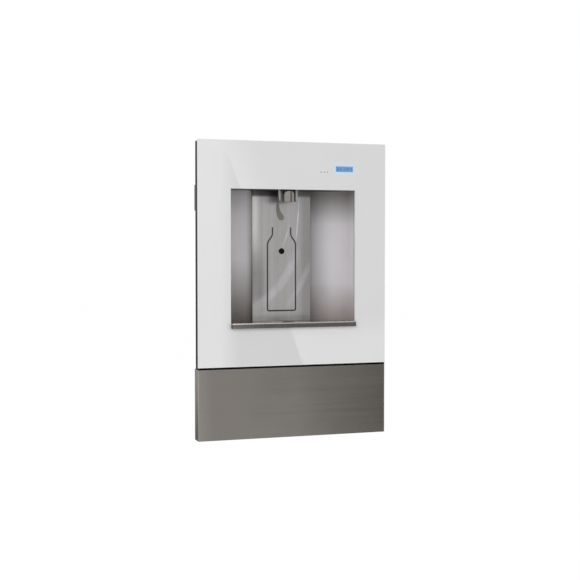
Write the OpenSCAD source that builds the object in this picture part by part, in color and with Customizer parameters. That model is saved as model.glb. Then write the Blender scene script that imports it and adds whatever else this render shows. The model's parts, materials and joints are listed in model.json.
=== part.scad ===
// Recessed bottle filling station for a stud wall, with a glass front, a curved steel alcove,
// a touchless nozzle, a drain and a filter bay behind a pull-off steel panel.
// Millimetres. The origin is the centre of the wall box's back face, +Y goes into the wall, +Z is up.

/* [Front] */
// How far the front stands off the finished wall
standoff = 28; // [27:0.5:32]
// How far the front laps over the wall box at its top and bottom
lap_h = 24; // [20:0.5:30]
// How far the front laps over the wall box at each side
lap_w = 23; // [18:0.5:28]
// Height of the glass under the tray's lip
apron_h = 74.5; // [70:0.5:80]
// Dark gap between the glass and the access panel
shadow_gap = 3.7; // [2.5:0.1:5]
// Sheet thickness of the access panel
panel_sheet = 1.2; // [0.8:0.1:1.5]
// Outer radius of the access panel's upright corners
panel_corner_r = 3; // [2:0.5:5]
// Thickness of the glass
glass_t = 5; // [4:0.5:6]
// Width of the ground bevel round the glass
glass_bevel = 1; // [0.5:0.1:1.5]
// Inset of the frame behind the edge of the glass
frame_inset = 2; // [1:0.5:4]
// Wall thickness of the frame
frame_wall = 3; // [2.5:0.5:4]

/* [Alcove] */
// Height of the opening, from the underside of the tray's lip
opening_h = 269.7; // [255:0.1:300]
// Depth of the alcove from the front of the glass
alcove_depth = 86; // [78:0.5:100]
// Radius of the alcove's upright back corners
alcove_corner_r = 58.5; // [50:0.5:64]
// Sheet thickness of the alcove
liner_t = 1.2; // [0.8:0.1:1.5]
// Width of the raised back plate
plate_w = 123; // [110:1:150]
// Flat wall between the back plate and the curve of each back corner
plate_gap_w = 8.5; // [6:0.5:14]
// How far the back plate stands proud
plate_proud = 6; // [5:0.5:8]
// Height of the tray's lip
lip_h = 10.2; // [9:0.1:12]
// How far the tray's lip stands in front of the glass
lip_proud = 6; // [4:0.5:8]
// Sheet thickness of the tray
tray_t = 1.5; // [1:0.1:2]

/* [Nozzle and sensor] */
// Depth of the nozzle's axis behind the front of the glass
nozzle_depth = 37; // [36:1:42]
// Radius of the nozzle
nozzle_r = 15; // [14:0.5:15]
// Visible height of the nozzle under the ceiling
nozzle_drop = 24.5; // [20:0.5:26]
// Radius of the sensor's window
sensor_r = 5.8; // [5:0.1:6.5]
// Height of the sensor above the tray's floor
sensor_rise = 141; // [130:1:146]

/* [Wall box] */
// Room between the alcove's back and the wall box's back
back_room = 30; // [28:0.5:40]
// Height of the wall box above the alcove's ceiling
head_room = 67.6; // [60:0.1:80]
// Sheet thickness of the wall box
box_sheet = 1.2; // [1:0.1:1.5]
// Width of the box's front flange
box_flange = 12; // [11:0.5:13]
// Space between the wall box and the stud on each side
stud_gap = 14; // [10:0.5:20]
// Distance between the upper and the lower stud brackets
bracket_distance = 360; // [340:5:380]
// Distance between the two screw holes of one bracket
bracket_hole_distance = 18; // [16:1:20]
// Radius of the stud screw holes
stud_hole_r = 2.75; // [2.25:0.25:3.25]

/* [Services] */
// Radius of the water inlet's stub
inlet_r = 8.3; // [7:0.1:9]
// Length of the water inlet's stub
inlet_length = 16; // [14:1:17]
// Radius of the drain outlet's spigot
drain_r = 15.9; // [14:0.1:16]
// Length of the drain outlet's spigot
drain_length = 18; // [14:1:19]
// Radius of the conduit knockout
conduit_r = 11.1; // [10:0.1:11.5]
// Radius of the filter cartridge
filter_r = 34; // [30:1:38]
// Free space beyond the filter cartridge's grip
filter_end_gap = 12.8; // [8:0.1:30]
// Radius of the water tubes
tube_r = 3.2; // [3:0.1:3.5]

/* [Travel] */
// How far the solenoid's plunger lifts
plunger_travel = 2; // [1.5:0.1:2.5]
// How far the reset button goes in
button_travel = 1.5; // [1:0.1:2]

/* [Hidden] */
$fn = 48;
// Overrun of every cut past the face that it opens
over = 0.5;

// Planes across the wall, front to back
box_depth = back_room + alcove_depth - standoff;
front_y = -(box_depth + standoff);
wall_y = -box_depth;
glass_back_y = front_y + glass_t;
tape_t = 1;
web_front_y = glass_back_y + tape_t;
web_t = 3;
web_back_y = web_front_y + web_t;
gasket_t = 1;
flange_y = web_back_y + gasket_t;
surround_y = front_y + alcove_depth;
plate_y = surround_y - plate_proud;
nozzle_y = front_y + nozzle_depth;
box_inside_y = -box_sheet;

// Sides, outwards from the middle
turn_x = plate_w / 2 + plate_gap_w;
liner_x = turn_x + alcove_corner_r;
liner_clear = 0.5;
opening_x = liner_x - liner_clear;
liner_flange = 11.5;
riser_gap = 10;
riser_x = liner_x + liner_flange + riser_gap;
riser_inset = 20;
box_x = riser_x + riser_inset;
box_inside_x = box_x - box_sheet;
stud_x = box_x + stud_gap;
front_w = 2 * (box_x + lap_w);
frame_x = front_w / 2 - frame_inset;

// Places of the services, from the box's back and sides, and the stack in the filter bay
filter_back_gap = 8.8;
services_y = -(box_sheet + filter_back_gap + filter_r);
inlet_inset = 90;
inlet_x = inlet_inset - box_x;
drain_inset = 32;
drain_x = drain_inset - box_x;
conduit_inset = 22;
conduit_x = box_x - conduit_inset;
service_flange_t = 3;
supply_h = 27.8;
supply_top_gap = 8;
filter_rise = box_sheet + supply_h + supply_top_gap + filter_r;
shelf_t = 2;
shelf_gap = 2;
solenoid_block_down = 8;
solenoid_block_up = 10;
solenoid_rise = filter_r + shelf_gap + shelf_t + solenoid_block_down;
guide_h = 40;
guide_top_gap = 9.9;
bay_h = filter_rise + solenoid_rise + solenoid_block_up + guide_h + guide_top_gap;

// Levels, bottom to top
basin_depth = 19;
basin_rim_t = 2;
tray_drop = 2;
lip_overlap = 2;
ceiling_rise = 1.5;
tray_stack = basin_depth + basin_rim_t + tray_t + tray_drop;
box_h = bay_h + tray_stack - lip_h + opening_h + ceiling_rise + head_room;
box_bottom_z = -box_h / 2;
box_floor_z = box_bottom_z + box_sheet;
bottom_z = box_bottom_z - lap_h;
top_z = -bottom_z;
basin_floor_z = box_bottom_z + bay_h;
rim_under_z = basin_floor_z + basin_depth;
tray_under_z = rim_under_z + basin_rim_t;
tray_floor_z = tray_under_z + tray_t;
lip_top_z = tray_floor_z + tray_drop;
lip_bottom_z = lip_top_z - lip_h;
opening_bottom_z = lip_bottom_z + lip_overlap;
opening_top_z = lip_bottom_z + opening_h;
ceiling_z = opening_top_z + ceiling_rise;
glass_bottom_z = lip_bottom_z - apron_h;
panel_top_z = glass_bottom_z - shadow_gap;
nozzle_bottom_z = ceiling_z - nozzle_drop;
sensor_z = tray_floor_z + sensor_rise;
frame_bottom_z = glass_bottom_z + frame_inset;
frame_top_z = top_z - frame_inset;

// Stud brackets
bracket_t = 1.5;
bracket_h = 50;
bracket_web_depth = 38;
bracket_web_y = wall_y + bracket_web_depth;
bracket_leg = 26;
bracket_front_gap = 2;
bracket_hole_depth = 19;
bracket_holes_y = wall_y + bracket_hole_depth;
driver_hole_r = 5;

// Frame bosses and screws
boss_r = 5;
boss_from_bottom = 26;
boss_from_top = 25;
boss_low_z = frame_bottom_z + boss_from_bottom;
boss_high_z = -box_bottom_z - boss_from_top;
boss_rows = [boss_low_z, (boss_low_z + boss_high_z) / 2, boss_high_z];
boss_x = box_x - box_flange / 2;
frame_screw_r = 2;
frame_screw_clear = 0.2;
frame_head_r = 4;
frame_head_t = 2;
frame_head_sink = 0.2;
frame_screw_end = 3;

// Dark strip of the frame behind the gap over the access panel
strip_back = 10;
strip_t = 2;
strip_h = 18;

// Tape behind the glass
tape_edge = 3;
tape_w = 12;
tape_opening_gap = 4;

// Display and status lights, seen through clear places in the glass
display_x = 105;
display_rise = 40.1;
display_z = ceiling_z + display_rise;
display_w = 36.5;
display_h = 11;
window_sink = 0.4;
status_x = 62.5;
status_step = 6.5;
status_rise = 33.6;
status_z = ceiling_z + status_rise;
status_count = 3;
status_r = 1;
display_hole_w = 46;
display_hole_h = 17;
status_hole_w = 21;
status_hole_h = 6;
display_face_w = 42;
display_face_h = 13;
display_face_gap = 0.5;
display_body_w = 50;
display_body_h = 20;
display_body_t = 8;
pipe_r = 1.1;
pipe_base_w = 25;
pipe_base_h = 8;
pipe_base_t = 3;
pipe_gap = 0.2;

// Control board and its cover
case_wall = 1.6;
case_depth = 34;
case_lift = 8.6;
case_left_gap = 18.4;
case_right_gap = 6.4;
case_top_gap = 1.9;
case_x0 = status_x - pipe_base_w / 2 - case_left_gap - case_wall;
case_x1 = display_x + display_body_w / 2 + case_right_gap + case_wall;
case_z0 = ceiling_z + case_lift;
case_z1 = display_z + display_body_h / 2 + case_top_gap + case_wall;
case_w = case_x1 - case_x0;
case_h = case_z1 - case_z0;
case_x = (case_x0 + case_x1) / 2;
case_z = (case_z0 + case_z1) / 2;
board_clear = 0.4;
board_t = 1.6;
board_chip_t = 4;
led_block_w = 16;
led_block_h = 4;
rib_x = 30;
rib_t = 2;
case_tab = 7;
case_tab_t = 2;

// Gasket and screws of the alcove liner
basin_flange_h = 16;
liner_screw_x = liner_x + liner_flange / 2;
liner_screw_shares = [0.33, 0.64, 0.94];
liner_screw_rows = [
    rim_under_z - basin_flange_h / 2,
    for (share = liner_screw_shares) tray_under_z + share * (ceiling_z - tray_under_z)
];
liner_screw_r = 1.5;
liner_head_r = 3;
liner_head_t = 1.8;
liner_screw_bite = 2;
screw_clear = 0.1;
ceiling_flange_h = 7.5;

// Back plate
plate_t = 1.5;
plate_foot = 11.5;
plate_gap = 0.4;
wall_tail = 20;
groove_w = 3;
groove_depth = 0.8;
inlay_t = 0.5;
neck_half = 19.3;
body_half = 29.8;
neck_top_rise = 189.2;
shoulder_top_rise = 172;
shoulder_bottom_rise = 159;
body_bottom_rise = 20.8;
base_bend = 3.5;
shoulder_bend = 6;
drop_r = 6.8;
drop_rise = 209;
drop_tip_rise = 229;
sensor_hole_clear = 0.2;

// Sensor module
sensor_lens_proud = 0.6;
sensor_plate_w = 40;
sensor_plate_t = 2;
sensor_body_w = 24;
sensor_body_h = 28;
sensor_body_t = 18;

// Nozzle
stem_r = 10;
stem_rise = 18;
nozzle_round = 3;
nozzle_bore_r = 9.5;
nozzle_bore_h = 6;
water_bore_r = 3;
insert_t = 4;
insert_hole_r = 0.9;
insert_ring_r = 3.2;
stem_clear = 0.3;
shroud_gap = 0.4;
shroud_top_r = 21;
shroud_bottom_r = 18.5;
shroud_lift = 1.5;
nut_af_r = 17;
nut_h = 7;
nut_clear = 0.1;

// Drip tray, strainer and basin
tray_clear = 1;
tray_back_clear = 0.5;
lip_gap = 0.3;
strainer_r = 10;
strainer_rim = 2;
strainer_t = 0.8;
strainer_clear = 0.3;
strainer_hole_r = 1.1;
strainer_ring_step = 3.7;
basin_x = 90;
basin_wall = 2;
basin_front_gap = 2;
basin_back_gap = 11;
spigot_r = 11;
spigot_bore_r = 9;
spigot_h = 16;
basin_nut_r = 16;
basin_nut_h = 11;
basin_nut_gap = 2;

// Drain hose and outlet
hose_r = 11;
hose_drop = 24;
hose_fall = 6;
hose_bend = 22;
drain_flange_r = 21;
drain_bore_r = 13.5;
drain_hole_clear = 0.3;
drain_inside_h = 27;
drain_cap_t = 7;
drain_cap_bore_r = 8;
drain_nut_h = 4;
drain_nut_r = 19;

// Water inlet and shut-off valve
inlet_flange_r = 13;
inlet_shank_r = 9;
inlet_hole_clear = 0.2;
inlet_shank_h = 7;
inlet_nut_r = 14;
inlet_nut_h = 4;
water_way_r = 4;
valve_r = 11;
valve_h = 20;
valve_boss_r = 6;
valve_boss_out = 15;
lever_stem_r = 3;
lever_stem_clear = 0.05;
lever_stem_in = 6;
lever_gap = 0.3;
lever_hub_r = 5;
lever_hub_t = 2;
lever_t = 3;
lever_w = 8;
lever_head_gap = 2;

// Filter head, cartridge, bracket and cradle
filter_y = services_y;
filter_z = box_bottom_z + filter_rise;
head_r = 22;
head_left = 24;
head_right = 24;
head_socket_r = 19.9;
head_socket_depth = 20;
port_r = 6.5;
port_h = 3;
pad_w = 36;
pad_h = 24;
neck_clear = 0.1;
neck_end_gap = 0.5;
neck_body_gap = 1;
cartridge_round = 8;
grip_w = 8;
grip_h = 8;
grip_share = 0.82;
oring_r = 0.8;
oring_step = 6;
oring_first = 4;
oring_clear = 0.15;
groove_gap = 0.2;
hat_t = 2;
hat_w = 44;
hat_h = 32;
hat_flange = 12;
hat_screw_z = 10;
cradle_w = 12;
cradle_lip = 5.6;
cradle_reach = 32.8;
cradle_clear = 0.4;
cradle_back = 38;

// Solenoid valve
solenoid_x = 70;
solenoid_z = filter_z + solenoid_rise;
solenoid_y = services_y;
solenoid_r = 8;
solenoid_length = 50;
solenoid_block_w = 28;
solenoid_block_d = 24;
guide_r = 5.2;
guide_bore_r = 4;
guide_cap = 2;
plunger_clear = 0.1;
plunger_spring_room = 14;
plunger_h = guide_h - guide_cap - plunger_spring_room - plunger_travel;
coil_w = 28;
coil_h = 32;
coil_lift = 4;
coil_clear = 0.1;
terminal_w = 8;
terminal_d = 12;
terminal_h = 14;
spring_gap = 0.4;
plunger_spring_r = 3;
spring_wire_r = 0.4;
plunger_spring_turns = 6;
shelf_w = 40;
shelf_base_up = 26;

// Tube nuts
tube_nut_r = 6.5;
tube_nut_h = 6;
tube_nut_clear = 0.1;
feed_bend = 12;
riser_bend = 16;
riser_over_ceiling = 34.6;
riser_top_z = ceiling_z + riser_over_ceiling;

// Power supply with the filter reset button
supply_w = 100;
supply_conduit_gap = 18;
supply_x1 = conduit_x - supply_conduit_gap;
supply_x0 = supply_x1 - supply_w;
supply_from_back = 66;
supply_front_y = -supply_from_back;
supply_back_gap = 4.8;
supply_corner = 3;
reset_from_left = 72;
reset_x = supply_x0 + reset_from_left;
reset_z = box_floor_z + supply_h / 2;
reset_w = 18;
reset_lip = 2;
reset_floor = 1;
button_r = 4;
button_clear = 0.05;
button_rest = 1.5;
button_proud = button_rest + button_travel;
button_flange_r = 5.5;
button_flange_t = 1.6;
cavity_clear = 0.1;
reset_spring_room = 3.9;
reset_depth = reset_lip + button_flange_t + button_travel + reset_spring_room + reset_floor;
reset_spring_r = 2.8;
reset_spring_turns = 5;

// Wiring
wire_r = 2;
power_wire_r = 2.5;
wire_bend = 9;
wire_from_back = 14;
wire_back_y = -wire_from_back;
power_from_back = 20;
power_back_y = -power_from_back;
wire_inset = 8.8;

// Access panel, its strike plates, magnets and catches
panel_return = 12;
catch_from_top = 24;
catch_from_bottom = 37;
catch_rows = [panel_top_z - catch_from_top, bottom_z + catch_from_bottom];
catch_x = boss_x;
catch_w = 16;
magnet_r = 6;
magnet_t = 3;
magnet_gap = 0.2;
strike_w = 20;
strike_t = 1;

// Colours
steel = [0.62, 0.61, 0.60];
dark_steel = [0.42, 0.41, 0.39];
galvanised = [0.70, 0.72, 0.74];
black = [0.06, 0.06, 0.07];
white = [0.90, 0.91, 0.91];
chrome = [0.80, 0.80, 0.82];
brass = [0.78, 0.62, 0.30];
blue = [0.50, 0.68, 0.88];
green = [0.08, 0.34, 0.20];
clear_blue = [0.55, 0.70, 0.85];

// A box between two values on each axis
module block(x, y, z) {
    translate([x[0], y[0], z[0]])
        cube([x[1] - x[0], y[1] - y[0], z[1] - z[0]]);
}

// A flat drawing in X and Z made thick between two Y values
module along_y(y) {
    translate([0, y[1], 0])
        rotate([90, 0, 0])
            linear_extrude(y[1] - y[0]) children();
}

// A flat drawing in Y and Z made thick between two X values
module along_x(x) {
    translate([x[0], 0, 0])
        rotate([90, 0, 90])
            linear_extrude(x[1] - x[0]) children();
}

// A flat drawing in X and Y made thick between two Z values
module along_z(z) {
    translate([0, 0, z[0]])
        linear_extrude(z[1] - z[0]) children();
}

module rod_y(x, z, y, r) {
    translate([x, y[0], z])
        rotate([-90, 0, 0]) cylinder(h = y[1] - y[0], r = r);
}

module rod_x(x, y, z, r) {
    translate([x[0], y, z])
        rotate([0, 90, 0]) cylinder(h = x[1] - x[0], r = r);
}

module rod_z(x, y, z, r) {
    translate([x, y, z[0]]) cylinder(h = z[1] - z[0], r = r);
}

// A hexagonal nut with an upright bore
module hex_nut(x, y, z, r, bore) {
    difference() {
        translate([x, y, z[0]]) cylinder(h = z[1] - z[0], r = r, $fn = 6);
        rod_z(x, y, [z[0] - over, z[1] + over], bore);
    }
}

// A pan-head screw whose head ends at y and whose shank goes on into the wall
module screw_in(x, z, y, head_r, head_t, shank_r, shank_end) {
    rod_y(x, z, [y, y + head_t], head_r);
    rod_y(x, z, [y + head_t - over, shank_end], shank_r);
}

// Both signs, for what stands left and right of the middle
sides = [-1, 1];

// A smooth path: each inner corner becomes a curve that starts one bend before it
function unit(v) = v / norm(v);
bend_steps = 6;
function corner(a, p, b, bend) =
    let (s = p + unit(a - p) * bend, e = p + unit(b - p) * bend)
    [for (i = [0 : bend_steps]) let (t = i / bend_steps)
        (1 - t) * (1 - t) * s + 2 * t * (1 - t) * p + t * t * e];
function smooth(points, bend) = [
    points[0],
    for (i = [1 : len(points) - 2]) each corner(points[i - 1], points[i], points[i + 1], bend),
    points[len(points) - 1]
];

// Directions square to a path, each carried on from the one before
function heading(p, i) = unit(p[min(i + 1, len(p) - 1)] - p[max(i - 1, 0)]);
function square_to(n, t) = unit(n - (n * t) * t);
function first_normal(t) = square_to(abs(t.z) < 0.9 ? [0, 0, 1] : [1, 0, 0], t);
function normals(p, n, i = 0) =
    i >= len(p) ? [] : let (m = square_to(n, heading(p, i))) concat([m], normals(p, m, i + 1));

// A round bar swept along a path
module swept(path, r, sides_count = 10) {
    across = normals(path, first_normal(heading(path, 0)));
    rings = [for (i = [0 : len(path) - 1])
        let (n = across[i], b = cross(heading(path, i), n))
        for (k = [0 : sides_count - 1])
            let (a = 360 * k / sides_count) path[i] + r * (cos(a) * n + sin(a) * b)];
    last = (len(path) - 1) * sides_count;
    skin = [for (i = [0 : len(path) - 2]) for (k = [0 : sides_count - 1])
        let (a = i * sides_count + k, b = i * sides_count + (k + 1) % sides_count)
        each [[a, a + sides_count, b], [b, a + sides_count, b + sides_count]]];
    start_cap = [for (k = [0 : sides_count - 1]) k];
    end_cap = [for (k = [sides_count - 1 : -1 : 0]) last + k];
    polyhedron(points = rings, faces = concat(skin, [start_cap, end_cap]));
}

// A coil spring's path, from height 0 to h, round the Z axis
spring_steps = 12;
function coil_path(r, h, turns) = [for (i = [0 : turns * spring_steps])
    let (a = 360 * i / spring_steps)
    [r * cos(a), r * sin(a), h * i / (turns * spring_steps)]];

// The wall box: a flat back, two sides and two ends, all of folded sheet with a front flange
module box_back() {
    color(galvanised)
        block([-box_inside_x, box_inside_x], [box_inside_y, 0], [box_floor_z, -box_floor_z]);
}

module box_sides() {
    color(galvanised)
        for (s = sides) difference() {
            along_z([box_bottom_z, -box_bottom_z])
                polygon([
                    [s * box_x, 0], [s * box_x, wall_y], [s * (box_x - box_flange), wall_y],
                    [s * (box_x - box_flange), wall_y + box_sheet],
                    [s * box_inside_x, wall_y + box_sheet], [s * box_inside_x, 0]
                ]);
            for (row = sides, hole = sides)
                rod_x([-box_x - over, box_x + over],
                    bracket_holes_y + hole * bracket_hole_distance / 2,
                    row * bracket_distance / 2, driver_hole_r);
            for (row = boss_rows)
                rod_y(s * boss_x, row, [wall_y - over, wall_y + box_sheet + over],
                    frame_screw_r + frame_screw_clear);
        }
}

module box_ends() {
    flange_x = box_x - box_flange;
    color(galvanised)
        for (s = sides) difference() {
            union() {
                block([-box_inside_x, box_inside_x], [wall_y + box_sheet, 0],
                    s < 0 ? [box_bottom_z, box_floor_z] : [-box_floor_z, -box_bottom_z]);
                block([-flange_x, flange_x], [wall_y, wall_y + box_sheet],
                    s < 0 ? [box_bottom_z, box_bottom_z + box_flange]
                        : [-box_bottom_z - box_flange, -box_bottom_z]);
            }
            if (s < 0) {
                rod_z(inlet_x, services_y, [box_bottom_z - over, box_floor_z + over],
                    inlet_shank_r + inlet_hole_clear);
                rod_z(drain_x, services_y, [box_bottom_z - over, box_floor_z + over],
                    drain_r + drain_hole_clear);
                rod_z(conduit_x, services_y, [box_bottom_z - over, box_floor_z + over], conduit_r);
            }
        }
}

// Four folded brackets that bridge from the box's sides to the studs
module stud_brackets() {
    leg_y = bracket_web_y + bracket_leg;
    color(galvanised)
        for (s = sides, row = sides) difference() {
            along_z([row * bracket_distance / 2 - bracket_h / 2,
                row * bracket_distance / 2 + bracket_h / 2])
                polygon([
                    [s * box_x, leg_y],
                    [s * (box_x + bracket_t), leg_y],
                    [s * (box_x + bracket_t), bracket_web_y],
                    [s * stud_x, bracket_web_y],
                    [s * stud_x, wall_y + bracket_front_gap],
                    [s * (stud_x - bracket_t), wall_y + bracket_front_gap],
                    [s * (stud_x - bracket_t), bracket_web_y - bracket_t],
                    [s * box_x, bracket_web_y - bracket_t]
                ]);
            for (hole = sides)
                rod_x([-stud_x - over, stud_x + over],
                    bracket_holes_y + hole * bracket_hole_distance / 2,
                    row * bracket_distance / 2, stud_hole_r);
        }
}

// The moulded frame that carries the glass and screws to the box's flange
module bezel_frame() {
    color(black) difference() {
        union() {
            difference() {
                block([-frame_x, frame_x], [web_front_y, wall_y], [frame_bottom_z, frame_top_z]);
                block([frame_wall - frame_x, frame_x - frame_wall], [web_back_y, wall_y + over],
                    [frame_bottom_z + frame_wall, frame_top_z - frame_wall]);
            }
            block([frame_wall - frame_x, frame_x - frame_wall],
                [web_front_y + strip_back, web_front_y + strip_back + strip_t],
                [frame_bottom_z - strip_h, frame_bottom_z + over]);
            for (s = sides, row = boss_rows)
                rod_y(s * boss_x, row, [web_back_y - over, wall_y], boss_r);
        }
        block([-liner_x, liner_x], [web_front_y - over, web_back_y + over],
            [opening_bottom_z, ceiling_z]);
        for (s = sides, row = boss_rows) {
            rod_y(s * boss_x, row, [web_front_y - over, wall_y + over],
                frame_screw_r + frame_screw_clear);
            rod_y(s * boss_x, row, [web_front_y - over, web_front_y + frame_head_t + frame_head_sink],
                frame_head_r + frame_screw_clear);
        }
        block([display_x - display_hole_w / 2, display_x + display_hole_w / 2],
            [web_front_y - over, web_back_y + over],
            [display_z - display_hole_h / 2, display_z + display_hole_h / 2]);
        block([status_x - status_hole_w / 2, status_x + status_hole_w / 2],
            [web_front_y - over, web_back_y + over],
            [status_z - status_hole_h / 2, status_z + status_hole_h / 2]);
        for (s = sides, row = liner_screw_rows)
            rod_y(s * liner_screw_x, row, [web_back_y - liner_screw_bite, web_back_y + over],
                liner_screw_r + screw_clear);
    }
}

module frame_screws() {
    color(galvanised)
        for (s = sides, row = boss_rows)
            screw_in(s * boss_x, row, web_front_y + frame_head_sink, frame_head_r, frame_head_t,
                frame_screw_r, wall_y + box_sheet + frame_screw_end);
}

// Double-sided tape: one ring at the rim of the glass and one round the opening
module glass_tape() {
    color(black) {
        rim_x = frame_x - tape_edge;
        rim_z = [frame_bottom_z + tape_edge, frame_top_z - tape_edge];
        difference() {
            block([-rim_x, rim_x], [glass_back_y, web_front_y], rim_z);
            block([tape_w - rim_x, rim_x - tape_w], [glass_back_y - over, web_front_y + over],
                [rim_z[0] + tape_w, rim_z[1] - tape_w]);
        }
        hole_x = opening_x + tape_opening_gap;
        hole_z = [opening_bottom_z - tape_opening_gap, ceiling_z + tape_opening_gap];
        difference() {
            block([-hole_x - tape_w, hole_x + tape_w], [glass_back_y, web_front_y],
                [hole_z[0] - tape_w, hole_z[1] + tape_w]);
            block([-hole_x, hole_x], [glass_back_y - over, web_front_y + over], hole_z);
        }
    }
}

// A bar that grinds one edge of the glass off at 45 degrees
module bevel_bar(length) {
    side = glass_bevel * sqrt(2);
    rotate([0, 0, 45])
        cube([side, side, length], center = true);
}

module glass_panel() {
    mid_z = (glass_bottom_z + top_z) / 2;
    glass_h = top_z - glass_bottom_z;
    color(white) difference() {
        block([-front_w / 2, front_w / 2], [front_y, glass_back_y], [glass_bottom_z, top_z]);
        block([-opening_x, opening_x], [front_y - over, glass_back_y + over],
            [opening_bottom_z, opening_top_z]);
        for (s = sides) {
            translate([s * front_w / 2, front_y, mid_z]) bevel_bar(glass_h + front_w);
            translate([0, front_y, mid_z + s * glass_h / 2])
                rotate([0, 90, 0]) bevel_bar(front_w + glass_h);
        }
        display_pocket(over);
        status_pockets(over);
    }
}

// The clear places in the glass; cut makes the pockets reach past the front
module display_pocket(cut) {
    block([display_x - display_w / 2, display_x + display_w / 2],
        [front_y - cut, front_y + window_sink],
        [display_z - display_h / 2, display_z + display_h / 2]);
}

module status_pockets(cut) {
    for (i = [0 : status_count - 1])
        rod_y(status_x + (i - (status_count - 1) / 2) * status_step, status_z,
            [front_y - cut, front_y + window_sink], status_r);
}

module display_window() { color(clear_blue) display_pocket(0); }
module status_windows() { color(clear_blue) status_pockets(0); }

module display_module() {
    color(black) {
        block([display_x - display_body_w / 2, display_x + display_body_w / 2],
            [web_back_y, web_back_y + display_body_t],
            [display_z - display_body_h / 2, display_z + display_body_h / 2]);
        block([display_x - display_face_w / 2, display_x + display_face_w / 2],
            [glass_back_y + display_face_gap, web_back_y + over],
            [display_z - display_face_h / 2, display_z + display_face_h / 2]);
    }
}

module status_light_pipes() {
    color(clear_blue) {
        block([status_x - pipe_base_w / 2, status_x + pipe_base_w / 2],
            [web_back_y, web_back_y + pipe_base_t],
            [status_z - pipe_base_h / 2, status_z + pipe_base_h / 2]);
        for (i = [0 : status_count - 1])
            rod_y(status_x + (i - (status_count - 1) / 2) * status_step, status_z,
                [glass_back_y + pipe_gap, web_back_y + over], pipe_r);
    }
}

board_y = web_back_y + display_body_t;

module control_board() {
    inset = case_wall + board_clear;
    half_w = case_w / 2 - inset;
    half_h = case_h / 2 - inset;
    color(green) {
        block([case_x - half_w, case_x + half_w], [board_y, board_y + board_t],
            [case_z - half_h, case_z + half_h]);
        // Lamps behind the light pipes
        block([status_x - led_block_w / 2, status_x + led_block_w / 2],
            [web_back_y + pipe_base_t, board_y + over],
            [status_z - led_block_h / 2, status_z + led_block_h / 2]);
        // Chips and plugs on the back
        for (k = [0 : 2])
            block([case_x - half_w / 4 + k * half_w / 5, case_x - half_w / 8 + k * half_w / 5],
                [board_y + board_t - over, board_y + board_t + board_chip_t],
                [case_z - half_h / 2, case_z + half_h / 2]);
    }
}

// The cover behind the board, open to the front, with two screw tabs
module control_case() {
    half_w = case_w / 2;
    half_h = case_h / 2;
    back_y = web_back_y + case_depth;
    color(black) difference() {
        union() {
            difference() {
                block([case_x - half_w, case_x + half_w], [web_back_y, back_y],
                    [case_z - half_h, case_z + half_h]);
                block([case_x - half_w + case_wall, case_x + half_w - case_wall],
                    [web_back_y - over, back_y - case_wall],
                    [case_z - half_h + case_wall, case_z + half_h - case_wall]);
            }
            for (s = sides) {
                block([case_x + s * rib_x - rib_t / 2, case_x + s * rib_x + rib_t / 2],
                    [board_y + board_t, back_y - case_wall + over],
                    [case_z - half_h + over, case_z + half_h - over]);
                block([case_x + s * (half_w + case_tab / 2) - case_tab / 2 - over * (s + 1) / 2,
                    case_x + s * (half_w + case_tab / 2) + case_tab / 2 + over * (1 - s) / 2],
                    [web_back_y, web_back_y + case_tab_t],
                    [case_z - case_tab, case_z + case_tab]);
            }
        }
        for (s = sides)
            rod_y(case_x + s * (half_w + case_tab / 2), case_z,
                [web_back_y - over, web_back_y + case_tab_t + over], liner_screw_r + screw_clear);
    }
}

// The soft ring between the frame and the alcove's flanges
module liner_gasket() {
    outer_x = liner_x + liner_flange;
    color(black) difference() {
        block([-outer_x, outer_x], [web_back_y, flange_y],
            [rim_under_z - basin_flange_h, ceiling_z + ceiling_flange_h]);
        block([-liner_x, liner_x], [web_back_y - over, flange_y + over],
            [opening_bottom_z, ceiling_z]);
        for (s = sides, row = liner_screw_rows)
            rod_y(s * liner_screw_x, row, [web_back_y - over, flange_y + over],
                liner_screw_r + screw_clear);
    }
}

// Screws that hold the liner's flanges and the control case to the frame
module liner_screws() {
    color(galvanised) {
        for (s = sides, row = liner_screw_rows) {
            back = row < rim_under_z ? flange_y + basin_wall : flange_y + liner_t;
            rod_y(s * liner_screw_x, row, [back, back + liner_head_t], liner_head_r);
            rod_y(s * liner_screw_x, row, [web_back_y - liner_screw_bite, back + over],
                liner_screw_r);
        }
        for (s = sides) {
            x = case_x + s * (case_w / 2 + case_tab / 2);
            rod_y(x, case_z, [web_back_y + case_tab_t, web_back_y + case_tab_t + liner_head_t],
                liner_head_r);
            rod_y(x, case_z, [web_back_y, web_back_y + case_tab_t + over], liner_screw_r);
        }
    }
}

// Half of the alcove's plan: a straight side, a quarter turn and a tail behind the plate
turn_y = surround_y - alcove_corner_r;

module liner_half_plan() {
    reach = alcove_corner_r + 2 * liner_t;
    polygon([
        [liner_x, flange_y], [liner_x + liner_flange, flange_y],
        [liner_x + liner_flange, flange_y + liner_t], [liner_x + liner_t, flange_y + liner_t],
        [liner_x + liner_t, turn_y], [liner_x, turn_y]
    ]);
    intersection() {
        difference() {
            translate([turn_x, turn_y]) circle(r = alcove_corner_r + liner_t, $fn = 96);
            translate([turn_x, turn_y]) circle(r = alcove_corner_r, $fn = 96);
        }
        translate([turn_x, turn_y]) square([reach, reach]);
    }
    translate([turn_x - wall_tail, surround_y]) square([wall_tail, liner_t]);
}

module alcove_wall(s) {
    color(steel) difference() {
        along_z([tray_under_z, ceiling_z]) mirror([s < 0 ? 1 : 0, 0]) liner_half_plan();
        for (row = liner_screw_rows)
            rod_y(s * liner_screw_x, row, [flange_y - over, flange_y + liner_t + over],
                liner_screw_r + screw_clear);
    }
}

module alcove_wall_left() { alcove_wall(-1); }
module alcove_wall_right() { alcove_wall(1); }

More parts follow.
